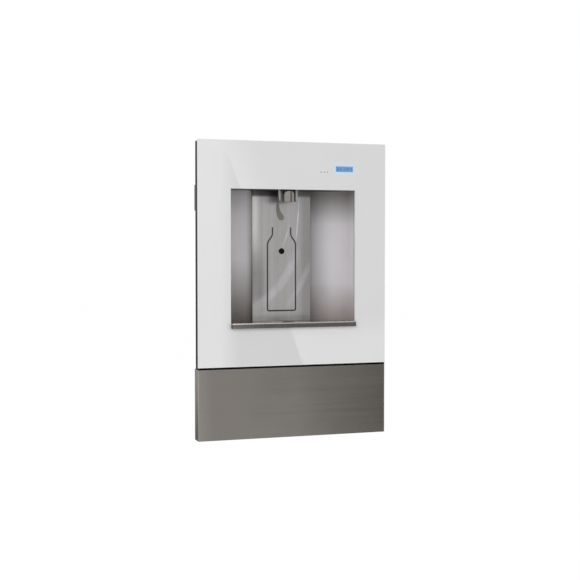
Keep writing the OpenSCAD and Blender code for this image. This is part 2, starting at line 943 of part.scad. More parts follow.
module alcove_ceiling() {
    outer_x = liner_x + liner_flange;
    color(steel) difference() {
        union() {
            block([-outer_x, outer_x], [flange_y, surround_y + liner_t], [ceiling_z, ceiling_z + liner_t]);
            block([-outer_x, outer_x], [flange_y, flange_y + liner_t],
                [ceiling_z, ceiling_z + ceiling_flange_h]);
        }
        rod_z(0, nozzle_y, [ceiling_z - over, ceiling_z + liner_t + over], stem_r + stem_clear);
    }
}

// One side of a line of even width: each point moves out square to the line, with mitred corners
function square_left(d) = [-d.y, d.x];
function beside(p, out) = [for (i = [0 : len(p) - 1])
    let (before = i > 0 ? unit(p[i] - p[i - 1]) : unit(p[1] - p[0]),
        after = i < len(p) - 1 ? unit(p[i + 1] - p[i]) : before,
        n = square_left(unit(before + after)))
    p[i] + out * n / (n * square_left(before))];

module stroke(path, w) {
    last = len(path) - 1;
    far_side = beside(path, -w / 2);
    polygon(concat(beside(path, w / 2), [for (i = [0 : last]) far_side[last - i]]));
}

// The bottle, drawn from the open top of its neck on the left round to the one on the right
module bottle_drawing() {
    neck_top = tray_floor_z + neck_top_rise;
    shoulder_top = tray_floor_z + shoulder_top_rise;
    shoulder_bottom = tray_floor_z + shoulder_bottom_rise;
    base = tray_floor_z + body_bottom_rise;
    p = [[neck_half, neck_top], [neck_half, shoulder_top], [body_half, shoulder_bottom],
        [body_half, base]];
    q = [for (point = p) [-point.x, point.y]];
    stroke([
        q[0],
        each corner(q[0], q[1], q[2], shoulder_bend),
        each corner(q[1], q[2], q[3], shoulder_bend),
        each corner(q[2], q[3], p[3], base_bend),
        each corner(q[3], p[3], p[2], base_bend),
        each corner(p[3], p[2], p[1], shoulder_bend),
        each corner(p[2], p[1], p[0], shoulder_bend),
        p[0]
    ], groove_w);
}

// The water drop over the bottle
drop_steps = 32;
module drop_drawing() {
    rise = drop_tip_rise - drop_rise;
    lean = asin(drop_r / rise);
    translate([0, tray_floor_z + drop_rise])
        polygon([
            [0, rise],
            for (i = [0 : drop_steps])
                let (a = lean - i * (180 + 2 * lean) / drop_steps) drop_r * [cos(a), sin(a)]
        ]);
}

module back_plate() {
    half = plate_w / 2;
    z = [tray_floor_z + plate_gap, ceiling_z];
    color(steel) difference() {
        union() {
            block([-half, half], [plate_y, plate_y + plate_t], z);
            for (s = sides) {
                block([s > 0 ? half - plate_t : -half, s > 0 ? half : plate_t - half],
                    [plate_y, surround_y], z);
                block([s > 0 ? half - plate_foot : -half, s > 0 ? half : plate_foot - half],
                    [surround_y - plate_t, surround_y], z);
            }
        }
        along_y([plate_y - over, plate_y + groove_depth]) bottle_drawing();
        along_y([plate_y - over, plate_y + groove_depth - inlay_t]) drop_drawing();
        rod_y(0, sensor_z, [plate_y - over, plate_y + plate_t + over],
            sensor_r + sensor_hole_clear);
    }
}

// Dark enamel in the groove of the bottle
module bottle_outline() {
    color(black)
        along_y([plate_y + groove_depth - inlay_t, plate_y + groove_depth]) bottle_drawing();
}

sensor_back_y = plate_y + plate_t;

module sensor_lens() {
    color(black)
        rod_y(0, sensor_z, [plate_y - sensor_lens_proud, sensor_back_y + sensor_plate_t], sensor_r);
}

module sensor_module() {
    color(black) {
        difference() {
            block([-sensor_plate_w / 2, sensor_plate_w / 2],
                [sensor_back_y, sensor_back_y + sensor_plate_t],
                [sensor_z - sensor_body_h / 2, sensor_z + sensor_body_h / 2]);
            rod_y(0, sensor_z, [sensor_back_y - over, sensor_back_y + sensor_plate_t + over],
                sensor_r + sensor_hole_clear);
        }
        block([-sensor_body_w / 2, sensor_body_w / 2],
            [sensor_back_y + sensor_plate_t, sensor_back_y + sensor_plate_t + sensor_body_t],
            [sensor_z - sensor_body_h / 2, sensor_z + sensor_body_h / 2]);
    }
}

// The chrome nozzle: a round-shouldered barrel, a threaded stem and the water's way
module nozzle_body() {
    stem_top = ceiling_z + stem_rise;
    color(chrome) translate([0, nozzle_y, 0]) difference() {
        union() {
            rod_z(0, 0, [nozzle_bottom_z, ceiling_z - nozzle_round], nozzle_r);
            rod_z(0, 0, [nozzle_bottom_z + over, ceiling_z], nozzle_r - nozzle_round);
            translate([0, 0, ceiling_z - nozzle_round])
                rotate_extrude() translate([nozzle_r - nozzle_round, 0])
                    intersection() {
                        circle(r = nozzle_round);
                        square([nozzle_r, nozzle_r]);
                    }
            rod_z(0, 0, [ceiling_z - over, stem_top], stem_r);
        }
        rod_z(0, 0, [nozzle_bottom_z - over, nozzle_bottom_z + nozzle_bore_h], nozzle_bore_r);
        rod_z(0, 0, [nozzle_bottom_z, stem_top + over], water_bore_r);
    }
}

// The flow straightener in the nozzle's mouth
module nozzle_insert() {
    top = nozzle_bottom_z + nozzle_bore_h;
    color(black) translate([0, nozzle_y, 0]) difference() {
        rod_z(0, 0, [top - insert_t, top], nozzle_bore_r);
        rod_z(0, 0, [top - insert_t - over, top + over], insert_hole_r);
        for (ring = [1, 2], k = [0 : 6 * ring - 1])
            rotate([0, 0, 60 * k / ring])
                rod_z(ring * insert_ring_r, 0, [top - insert_t - over, top + over], insert_hole_r);
    }
}

module nozzle_nut() {
    color(brass) hex_nut(0, nozzle_y, [ceiling_z + liner_t, ceiling_z + liner_t + nut_h],
        nut_af_r, stem_r + nut_clear);
}

// The dark half-round cup behind the nozzle, narrower towards its foot
module nozzle_shroud() {
    foot = nozzle_bottom_z + shroud_lift;
    color(black) translate([0, nozzle_y, 0])
        rotate_extrude(angle = 180, $fn = 96)
            polygon([
                [nozzle_r + shroud_gap, foot], [shroud_bottom_r, foot],
                [shroud_top_r, ceiling_z], [nozzle_r + shroud_gap, ceiling_z]
            ]);
}

// The outline of the tray's floor, a little inside the alcove
module tray_plan() {
    half = opening_x - liner_clear;
    turn = alcove_corner_r - tray_clear;
    back = surround_y - tray_back_clear;
    translate([-half, front_y - lip_proud / 2])
        square([2 * half, turn_y - front_y + lip_proud / 2]);
    translate([-turn_x, turn_y - over]) square([2 * turn_x, back - turn_y + over]);
    for (s = sides)
        intersection() {
            translate([s * turn_x, turn_y]) circle(r = turn, $fn = 96);
            translate([s > 0 ? turn_x - over : -liner_x, turn_y - over])
                square([liner_x - turn_x + over, back - turn_y + over]);
        }
}

module drip_tray() {
    color(steel) difference() {
        union() {
            along_z([tray_under_z, tray_floor_z]) tray_plan();
            block([-opening_x, opening_x], [front_y - lip_proud, front_y - lip_gap],
                [lip_bottom_z, lip_top_z]);
        }
        rod_z(0, nozzle_y, [tray_under_z - over, tray_floor_z + over],
            strainer_r + strainer_clear);
    }
}

module drain_strainer() {
    color(black) translate([0, nozzle_y, 0]) difference() {
        union() {
            rod_z(0, 0, [tray_floor_z, tray_floor_z + strainer_t], strainer_r + strainer_rim);
            rod_z(0, 0, [tray_under_z, tray_floor_z + over], strainer_r);
        }
        for (ring = [1, 2], k = [0 : 6 * ring - 1])
            rotate([0, 0, 60 * k / ring])
                rod_z(ring * strainer_ring_step, 0,
                    [tray_under_z - over, tray_floor_z + strainer_t + over], strainer_hole_r);
    }
}

// The moulded basin under the tray, with a screwed flange and an outlet
spigot_end_z = basin_floor_z - spigot_h;

module drip_basin() {
    outer_x = liner_x + liner_flange;
    front = flange_y + basin_front_gap;
    back = surround_y + liner_t - basin_back_gap;
    color(black) difference() {
        union() {
            block([-outer_x, outer_x], [flange_y, surround_y + liner_t], [rim_under_z, tray_under_z]);
            block([-outer_x, outer_x], [flange_y, flange_y + basin_wall],
                [rim_under_z - basin_flange_h, rim_under_z + over]);
            block([-basin_x, basin_x], [front, back], [basin_floor_z, rim_under_z + over]);
            rod_z(0, nozzle_y, [spigot_end_z, basin_floor_z + over], spigot_r);
        }
        block([basin_wall - basin_x, basin_x - basin_wall], [front + basin_wall, back - basin_wall],
            [basin_floor_z + basin_wall, tray_under_z + over]);
        rod_z(0, nozzle_y, [spigot_end_z - over, basin_floor_z + basin_wall + over], spigot_bore_r);
        for (s = sides, row = liner_screw_rows)
            rod_y(s * liner_screw_x, row, [flange_y - over, flange_y + basin_wall + over],
                liner_screw_r + screw_clear);
    }
}

// Nuts of the basin's spigot, the drain outlet and the water inlet
module service_nuts() {
    color(white)
        hex_nut(0, nozzle_y, [basin_floor_z - basin_nut_gap - basin_nut_h,
            basin_floor_z - basin_nut_gap], basin_nut_r, spigot_r);
    color(white)
        hex_nut(drain_x, services_y, [box_floor_z, box_floor_z + drain_nut_h],
            drain_nut_r, drain_r);
    color(brass)
        hex_nut(inlet_x, services_y, [box_floor_z, box_floor_z + inlet_nut_h],
            inlet_nut_r, inlet_shank_r);
}

drain_top_z = box_bottom_z + drain_inside_h;

module drain_hose() {
    turn_z = spigot_end_z - hose_drop;
    color(black) swept(smooth([
        [0, nozzle_y, spigot_end_z],
        [0, nozzle_y, turn_z],
        [drain_x, services_y, turn_z - hose_fall],
        [drain_x, services_y, drain_top_z]
    ], hose_bend), hose_r, 14);
}

module drain_outlet() {
    flange_z = box_bottom_z - service_flange_t;
    color(white) difference() {
        union() {
            rod_z(drain_x, services_y, [flange_z - drain_length, drain_top_z], drain_r);
            rod_z(drain_x, services_y, [flange_z, box_bottom_z], drain_flange_r);
        }
        rod_z(drain_x, services_y, [flange_z - drain_length - over, drain_top_z - drain_cap_t],
            drain_bore_r);
        rod_z(drain_x, services_y, [flange_z, drain_top_z + over], drain_cap_bore_r);
    }
}

valve_bottom_z = box_bottom_z + inlet_shank_h;
valve_top_z = valve_bottom_z + valve_h;
valve_z = (valve_bottom_z + valve_top_z) / 2;

module inlet_fitting() {
    flange_z = box_bottom_z - service_flange_t;
    color(brass) difference() {
        union() {
            rod_z(inlet_x, services_y, [flange_z - inlet_length, flange_z + over], inlet_r);
            rod_z(inlet_x, services_y, [flange_z, box_bottom_z], inlet_flange_r);
            rod_z(inlet_x, services_y, [box_bottom_z - over, valve_bottom_z], inlet_shank_r);
        }
        rod_z(inlet_x, services_y, [flange_z - inlet_length - over, valve_bottom_z + over],
            water_way_r);
    }
}

// The ball valve's body, with the boss that the lever's stem turns in
valve_boss_y = services_y - valve_boss_out;

module shutoff_body() {
    color(brass) difference() {
        union() {
            rod_z(inlet_x, services_y, [valve_bottom_z, valve_top_z], valve_r);
            rod_y(inlet_x, valve_z, [valve_boss_y, services_y], valve_boss_r);
        }
        rod_y(inlet_x, valve_z, [valve_boss_y - over, valve_boss_y + lever_stem_in + over],
            lever_stem_r + lever_stem_clear);
        rod_z(inlet_x, services_y, [valve_bottom_z - over, valve_top_z + over], tube_r);
    }
}

module shutoff_lever() {
    lever_length = filter_z - head_r - lever_head_gap - lever_w / 2 - valve_z;
    hub_y = valve_boss_y - lever_gap - lever_hub_t;
    color(blue) {
        rod_y(inlet_x, valve_z, [hub_y, valve_boss_y + lever_stem_in], lever_stem_r);
        rod_y(inlet_x, valve_z, [hub_y - lever_t, hub_y + lever_hub_t], lever_hub_r);
        block([inlet_x - lever_w / 2, inlet_x + lever_w / 2], [hub_y - lever_t, hub_y],
            [valve_z, valve_z + lever_length]);
        rod_y(inlet_x, valve_z + lever_length, [hub_y - lever_t, hub_y], lever_w / 2);
    }
}

// Filter head: a round body with a socket, a port above and below, and a pad behind
head_x0 = inlet_x - head_left;
head_x1 = inlet_x + head_right;
head_port_z = head_r + port_h;

module filter_head() {
    color(white) difference() {
        union() {
            rod_x([head_x0, head_x1], filter_y, filter_z, head_r);
            rod_z(inlet_x, filter_y, [filter_z - head_port_z, filter_z + head_port_z], port_r);
            block([inlet_x - pad_w / 2, inlet_x + pad_w / 2], [filter_y, filter_y + head_r],
                [filter_z - pad_h / 2, filter_z + pad_h / 2]);
        }
        rod_x([head_x1 - head_socket_depth, head_x1 + over], filter_y, filter_z, head_socket_r);
        rod_z(inlet_x - head_socket_depth / 2, filter_y, [filter_z - head_r / 2, filter_z + head_r / 2],
            water_bore_r);
        rod_z(inlet_x, filter_y, [filter_z + head_socket_r, filter_z + head_port_z + over],
            water_bore_r);
        rod_z(inlet_x, filter_y, [filter_z - head_port_z - over, filter_z - head_socket_r],
            water_bore_r);
    }
}

cartridge_x0 = head_x1 + neck_body_gap;
cartridge_x1 = box_inside_x - filter_end_gap - grip_h;
filter_length = cartridge_x1 - cartridge_x0;
neck_r = head_socket_r - neck_clear;
neck_x0 = head_x1 - head_socket_depth + neck_end_gap;
oring_mid_r = neck_r - oring_clear - oring_r + neck_clear;

module filter_cartridge() {
    groove_depth_r = oring_mid_r - oring_r;
    groove_half = oring_r + groove_gap;
    color(white) difference() {
        union() {
            rod_x([neck_x0, cartridge_x0 + over], filter_y, filter_z, neck_r);
            translate([0, filter_y, filter_z]) rotate([0, 90, 0]) rotate_extrude($fn = 96)
                union() {
                    translate([0, cartridge_x0]) square([filter_r - cartridge_round, filter_length]);
                    translate([0, cartridge_x0 + cartridge_round])
                        square([filter_r, filter_length - 2 * cartridge_round]);
                    for (e = [cartridge_x0 + cartridge_round, cartridge_x1 - cartridge_round])
                        translate([filter_r - cartridge_round, e])
                            intersection() {
                                circle(r = cartridge_round);
                                translate([0, -cartridge_round])
                                    square([cartridge_round, 2 * cartridge_round]);
                            }
                }
            grip = filter_r * grip_share;
            block([cartridge_x1 - over, cartridge_x1 + grip_h], [filter_y - grip, filter_y + grip],
                [filter_z - grip_w / 2, filter_z + grip_w / 2]);
        }
        for (k = [0, 1]) {
            x = neck_x0 + oring_first + k * oring_step;
            difference() {
                rod_x([x - groove_half, x + groove_half], filter_y, filter_z, neck_r + over);
                rod_x([x - groove_half - over, x + groove_half + over], filter_y, filter_z,
                    groove_depth_r);
            }
        }
    }
}

module filter_orings() {
    color(black)
        for (k = [0, 1])
            translate([neck_x0 + oring_first + k * oring_step, filter_y, filter_z])
                rotate([0, 90, 0])
                    rotate_extrude($fn = 96) translate([oring_mid_r, 0]) circle(r = oring_r);
}

// Tubes from the shut-off valve to the filter head, and on to the solenoid valve
module filter_tubes() {
    head_top = filter_z + head_port_z;
    color(white) {
        rod_z(inlet_x, services_y, [valve_top_z, filter_z - head_port_z], tube_r);
        swept(smooth([
            [inlet_x, filter_y, head_top],
            [inlet_x, filter_y, solenoid_z],
            [solenoid_x - solenoid_length / 2, solenoid_y, solenoid_z]
        ], feed_bend), tube_r, 12);
    }
}

// A hat-shaped bracket between the box's back and the filter head's pad
module filter_bracket() {
    pad_y = filter_y + head_r;
    half = hat_w / 2;
    color(galvanised) difference() {
        along_z([filter_z - hat_h / 2, filter_z + hat_h / 2])
            polygon([
                [inlet_x - half - hat_flange, box_inside_y],
                [inlet_x - half - hat_flange, box_inside_y - hat_t],
                [inlet_x - half, box_inside_y - hat_t],
                [inlet_x - half, pad_y],
                [inlet_x + half, pad_y],
                [inlet_x + half, box_inside_y - hat_t],
                [inlet_x + half + hat_flange, box_inside_y - hat_t],
                [inlet_x + half + hat_flange, box_inside_y],
                [inlet_x + half - hat_t, box_inside_y],
                [inlet_x + half - hat_t, pad_y + hat_t],
                [inlet_x - half + hat_t, pad_y + hat_t],
                [inlet_x - half + hat_t, box_inside_y]
            ]);
        for (s = sides, row = sides)
            rod_y(inlet_x + s * (half + hat_flange / 2), filter_z + row * hat_screw_z,
                [box_inside_y - hat_t - over, box_inside_y + over], frame_screw_r + frame_screw_clear);
    }
}

// The cradle that carries the cartridge's free end
cradle_x = cartridge_x1 - cradle_back;

module filter_cradle() {
    half = filter_r + cradle_clear + cradle_lip;
    color(black) difference() {
        block([cradle_x, cradle_x + cradle_w], [filter_y + filter_r - cradle_reach, box_inside_y],
            [filter_z - half, filter_z + half]);
        rod_x([cradle_x - over, cradle_x + cradle_w + over], filter_y, filter_z,
            filter_r + cradle_clear);
    }
}

// Screws of the two brackets on the box's back
module bracket_screws() {
    head_y = box_inside_y - hat_t - frame_head_t;
    color(galvanised) {
        for (s = sides, row = sides)
            screw_in(inlet_x + s * (hat_w / 2 + hat_flange / 2), filter_z + row * hat_screw_z,
                head_y, frame_head_r, frame_head_t, frame_screw_r, box_inside_y);
        for (s = sides)
            screw_in(solenoid_x + s * shelf_w / 4, solenoid_z + shelf_base_up / 2,
                head_y, frame_head_r, frame_head_t, frame_screw_r, box_inside_y);
    }
}

// An angled shelf under the solenoid valve
shelf_top_z = solenoid_z - solenoid_block_down;

module valve_bracket() {
    half = shelf_w / 2;
    color(galvanised) difference() {
        union() {
            block([solenoid_x - half, solenoid_x + half], [box_inside_y - shelf_t, box_inside_y],
                [shelf_top_z - shelf_t, solenoid_z + shelf_base_up]);
            block([solenoid_x - half, solenoid_x + half],
                [solenoid_y - solenoid_block_d / 2, box_inside_y],
                [shelf_top_z - shelf_t, shelf_top_z]);
        }
        for (s = sides)
            rod_y(solenoid_x + s * shelf_w / 4, solenoid_z + shelf_base_up / 2,
                [box_inside_y - shelf_t - over, box_inside_y + over],
                frame_screw_r + frame_screw_clear);
    }
}

// Solenoid valve: a body on the water line with an upright guide, a plunger and a coil
guide_z = solenoid_z + solenoid_block_up;

module solenoid_body() {
    half = solenoid_length / 2;
    color(white) difference() {
        union() {
            rod_x([solenoid_x - half, solenoid_x + half], solenoid_y, solenoid_z, solenoid_r);
            block([solenoid_x - solenoid_block_w / 2, solenoid_x + solenoid_block_w / 2],
                [solenoid_y - solenoid_block_d / 2, solenoid_y + solenoid_block_d / 2],
                [shelf_top_z, guide_z]);
        }
        for (s = sides)
            rod_x([solenoid_x + (s > 0 ? water_way_r : -half - over),
                solenoid_x + (s > 0 ? half + over : -water_way_r)],
                solenoid_y, solenoid_z, water_bore_r);
    }
}

module solenoid_guide() {
    color(chrome) difference() {
        rod_z(solenoid_x, solenoid_y, [guide_z, guide_z + guide_h], guide_r);
        rod_z(solenoid_x, solenoid_y, [guide_z - over, guide_z + guide_h - guide_cap],
            guide_bore_r);
    }
}

module solenoid_plunger() {
    color(steel)
        rod_z(solenoid_x, solenoid_y, [guide_z, guide_z + plunger_h], guide_bore_r - plunger_clear);
}

module plunger_spring() {
    low = guide_z + plunger_h + spring_wire_r + spring_gap;
    high = guide_z + guide_h - guide_cap - spring_wire_r - spring_gap;
    color(chrome) translate([solenoid_x, solenoid_y, low])
        swept(coil_path(plunger_spring_r, high - low, plunger_spring_turns), spring_wire_r, 6);
}

module solenoid_coil() {
    half = coil_w / 2;
    z = guide_z + coil_lift;
    color(black) difference() {
        union() {
            block([solenoid_x - half, solenoid_x + half], [solenoid_y - half, solenoid_y + half],
                [z, z + coil_h]);
            block([solenoid_x + half - over, solenoid_x + half + terminal_w],
                [solenoid_y - terminal_d / 2, solenoid_y + terminal_d / 2],
                [z + coil_h / 2 - terminal_h / 2, z + coil_h / 2 + terminal_h / 2]);
        }
        rod_z(solenoid_x, solenoid_y, [z - over, z + coil_h + over], guide_r + coil_clear);
    }
}

// The tube from the solenoid valve, up beside the alcove and over to the nozzle's stem
module nozzle_feed_tube() {
    start_x = solenoid_x + solenoid_length / 2;
    color(white) swept(smooth([
        [start_x, solenoid_y, solenoid_z],
        [riser_x, services_y, solenoid_z],
        [riser_x, services_y, riser_top_z],
        [0, services_y, riser_top_z],
        [0, nozzle_y, riser_top_z],
        [0, nozzle_y, ceiling_z + stem_rise]
    ], riser_bend), tube_r, 12);
}

// Push-in collars where the tubes enter the valve, the filter head, the solenoid and the nozzle
module tube_nuts() {
    bore = tube_r + tube_nut_clear;
    color(white) {
        hex_nut(inlet_x, services_y, [valve_top_z, valve_top_z + tube_nut_h], tube_nut_r, bore);
        hex_nut(inlet_x, filter_y, [filter_z - head_port_z - tube_nut_h, filter_z - head_port_z],
            tube_nut_r, bore);
        hex_nut(0, nozzle_y, [ceiling_z + stem_rise, ceiling_z + stem_rise + tube_nut_h / 3],
            tube_nut_r, bore);
        for (s = sides)
            translate([solenoid_x + s * (solenoid_length / 2 + tube_nut_h / 2), solenoid_y, solenoid_z])
                rotate([0, 90, 0])
                    hex_nut(0, 0, [-tube_nut_h / 2, tube_nut_h / 2], tube_nut_r, bore);
    }
}

// The power supply on the box's floor
supply_top_z = box_floor_z + supply_h;

module power_supply() {
    color(black)
        along_z([box_floor_z, supply_top_z])
            union() {
                back_y = box_inside_y - supply_back_gap;
                translate([supply_x0 + supply_corner, supply_front_y])
                    square([supply_w - 2 * supply_corner, back_y - supply_front_y]);
                translate([supply_x0, supply_front_y + supply_corner])
                    square([supply_w, back_y - supply_front_y - 2 * supply_corner]);
                for (x = [supply_x0 + supply_corner, supply_x1 - supply_corner],
                    y = [supply_front_y + supply_corner, back_y - supply_corner])
                    translate([x, y]) circle(r = supply_corner);
            }
}

// Three cables to the control case: from the sensor, the solenoid's coil and the power supply
module wiring() {
    case_back_y = web_back_y + case_depth;
    coil_plug = [solenoid_x + coil_w / 2 + terminal_w, solenoid_y,
        guide_z + coil_lift + coil_h / 2];
    side_x = box_inside_x - wire_inset;
    plug_z = case_z - case_h / 4;
    sensor_wire = [
        [0, power_back_y, sensor_z + sensor_body_h / 2],
        [0, power_back_y, plug_z],
        [case_x - case_w / 4, power_back_y, plug_z],
        [case_x - case_w / 4, case_back_y, plug_z]
    ];
    valve_wire = [
        coil_plug,
        [riser_x - 3 * riser_bend / 2, solenoid_y, coil_plug.z],
        [side_x, wire_back_y, coil_plug.z],
        [side_x, wire_back_y, case_z - wire_r],
        [case_x, wire_back_y, case_z - wire_r],
        [case_x, case_back_y, case_z - wire_r]
    ];
    power_wire = [
        [supply_x1, power_back_y, box_floor_z + supply_h / 2],
        [side_x + wire_r, power_back_y, box_floor_z + supply_h / 2],
        [side_x + wire_r, power_back_y, case_z + case_h / 4],
        [case_x + case_w / 4, power_back_y, case_z + case_h / 4],
        [case_x + case_w / 4, case_back_y, case_z + case_h / 4]
    ];
    color(black) {
        swept(smooth(sensor_wire, wire_bend), wire_r, 8);
        swept(smooth(valve_wire, wire_bend), wire_r, 8);
        swept(smooth(power_wire, wire_bend), power_wire_r, 8);
    }
}

// The filter reset switch: a housing on the supply's front, a sprung button and its spring
reset_front_y = supply_front_y - reset_depth;
button_flange_y = reset_front_y + reset_lip;

module reset_housing() {
    color(white) difference() {
        block([reset_x - reset_w / 2, reset_x + reset_w / 2], [reset_front_y, supply_front_y],
            [reset_z - reset_w / 2, reset_z + reset_w / 2]);
        rod_y(reset_x, reset_z, [reset_front_y - over, button_flange_y + over],
            button_r + button_clear);
        rod_y(reset_x, reset_z, [button_flange_y, supply_front_y - reset_floor],
            button_flange_r + cavity_clear);
    }
}

module reset_button() {
    color(blue) {
        rod_y(reset_x, reset_z, [reset_front_y - button_proud, button_flange_y + over], button_r);
        rod_y(reset_x, reset_z, [button_flange_y, button_flange_y + button_flange_t],
            button_flange_r);
    }
}

module reset_spring() {
    near = button_flange_y + button_flange_t + spring_wire_r + spring_gap / 2;
    far = supply_front_y - reset_floor - spring_wire_r - spring_gap / 2;
    color(chrome) translate([reset_x, far, reset_z])
        rotate([90, 0, 0])
            swept(coil_path(reset_spring_r, far - near, reset_spring_turns), spring_wire_r, 6);
}

// The steel access panel: a front with rounded upright corners and a fold on every side
module panel_plan(inset, past) {
    half = front_w / 2 - inset;
    r = panel_corner_r - inset;
    front = front_y + inset;
    translate([-half, front + r]) square([2 * half, wall_y + past - front - r]);
    translate([r - half, front]) square([2 * (half - r), r + over]);
    for (s = sides) translate([s * (half - r), front + r]) circle(r = r);
}

module access_panel() {
    color(dark_steel) difference() {
        along_z([bottom_z, panel_top_z]) panel_plan(0, 0);
        along_z([bottom_z + panel_sheet, panel_top_z - panel_sheet]) panel_plan(panel_sheet, over);
        block([panel_corner_r - front_w / 2, front_w / 2 - panel_corner_r],
            [front_y + panel_return, wall_y + over], [bottom_z - over, panel_top_z + over]);
    }
}

module strike_plates() {
    color(galvanised)
        for (s = sides, row = catch_rows)
            block([s * catch_x - strike_w / 2, s * catch_x + strike_w / 2],
                [front_y + panel_sheet, front_y + panel_sheet + strike_t],
                [row - strike_w / 2, row + strike_w / 2]);
}

magnet_front_y = front_y + panel_sheet + strike_t + magnet_gap;

module panel_catches() {
    color(black)
        for (s = sides, row = catch_rows)
            block([s * catch_x - catch_w / 2, s * catch_x + catch_w / 2],
                [magnet_front_y + magnet_t, wall_y], [row - catch_w / 2, row + catch_w / 2]);
}

module panel_magnets() {
    color(chrome)
        for (s = sides, row = catch_rows)
            rod_y(s * catch_x, row, [magnet_front_y, magnet_front_y + magnet_t], magnet_r);
}

box_back();
box_sides();
box_ends();
stud_brackets();
bezel_frame();
frame_screws();
glass_tape();
glass_panel();
display_window();
status_windows();
display_module();
status_light_pipes();
control_board();
control_case();
liner_gasket();
liner_screws();
alcove_wall_left();
alcove_wall_right();
alcove_ceiling();
back_plate();
bottle_outline();
sensor_lens();
sensor_module();
nozzle_body();
nozzle_insert();
nozzle_nut();
nozzle_shroud();
drip_tray();
drain_strainer();
drip_basin();
service_nuts();
drain_hose();
drain_outlet();
inlet_fitting();
shutoff_body();
shutoff_lever();
filter_tubes();
filter_bracket();
filter_head();
filter_cartridge();
filter_orings();
filter_cradle();
bracket_screws();
valve_bracket();
solenoid_body();
solenoid_guide();
solenoid_plunger();
plunger_spring();
solenoid_coil();
nozzle_feed_tube();
tube_nuts();
power_supply();
wiring();
reset_housing();
reset_button();
reset_spring();
access_panel();
strike_plates();
panel_catches();
panel_magnets();
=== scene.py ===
"""Finish, lights and camera of a wall bottle filling station: one operator for each group of pieces."""

import json
from math import cos, pi, radians, sin

import bmesh
import bpy
from bpy.props import FloatProperty, FloatVectorProperty, PointerProperty, StringProperty
from mathutils import Euler, Matrix, Vector


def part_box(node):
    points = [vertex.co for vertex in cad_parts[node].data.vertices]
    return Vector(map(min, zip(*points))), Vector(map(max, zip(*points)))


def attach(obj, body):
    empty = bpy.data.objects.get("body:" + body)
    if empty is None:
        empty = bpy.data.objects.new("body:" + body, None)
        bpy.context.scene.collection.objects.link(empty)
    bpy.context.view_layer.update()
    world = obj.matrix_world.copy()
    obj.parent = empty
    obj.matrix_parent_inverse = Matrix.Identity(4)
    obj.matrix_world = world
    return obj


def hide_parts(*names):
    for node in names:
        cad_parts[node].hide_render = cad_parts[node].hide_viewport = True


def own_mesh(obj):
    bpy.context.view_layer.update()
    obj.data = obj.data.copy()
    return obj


bl_info = {
    "name": "Bottle Filling Station",
    "version": (1, 0, 0),
    "blender": (4, 5, 0),
    "location": "View3D > Sidebar > Station",
    "description": "Builds the finish, lights and camera of a wall bottle filling station",
    "category": "Object",
}

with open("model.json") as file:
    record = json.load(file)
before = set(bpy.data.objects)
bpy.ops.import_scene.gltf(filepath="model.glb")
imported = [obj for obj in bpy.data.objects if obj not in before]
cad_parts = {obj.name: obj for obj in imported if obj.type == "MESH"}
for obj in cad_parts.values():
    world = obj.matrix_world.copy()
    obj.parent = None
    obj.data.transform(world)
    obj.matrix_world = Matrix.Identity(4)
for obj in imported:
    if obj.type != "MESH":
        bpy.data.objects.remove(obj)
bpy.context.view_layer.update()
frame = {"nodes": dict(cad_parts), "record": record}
RECORD = frame["record"]
SLOT_OF = {part["node"]: part["material_slot"] for part in RECORD["subparts"]}
BODY_OF = {node: body for body, nodes in RECORD["behaviour"]["bodies"].items() for node in nodes}

MM = 0.001
WELD = 0.002 * MM
FLAT = radians(0.3)
SHARP = radians(28)
PROUD = 0.05 * MM

# Turns that point a part's own +Z the way that it faces
FACE = {
    "front": (pi / 2, 0, 0), "back": (-pi / 2, 0, 0), "up": (0, 0, 0),
    "down": (pi, 0, 0), "right": (0, pi / 2, 0), "left": (0, -pi / 2, 0),
}


def colour_of(rgb):
    """Four channels from three."""
    return (*rgb, 1.0)


def dimmed(rgb, share):
    """Three channels, each at a share of its level."""
    return [channel * share for channel in rgb]


def shades(rgb, down, up):
    """A darker and a lighter colour, by a share each."""
    return colour_of(dimmed(rgb, 1 - down)), colour_of([min(1.0, channel * (1 + up)) for channel in rgb])


# Shader helpers


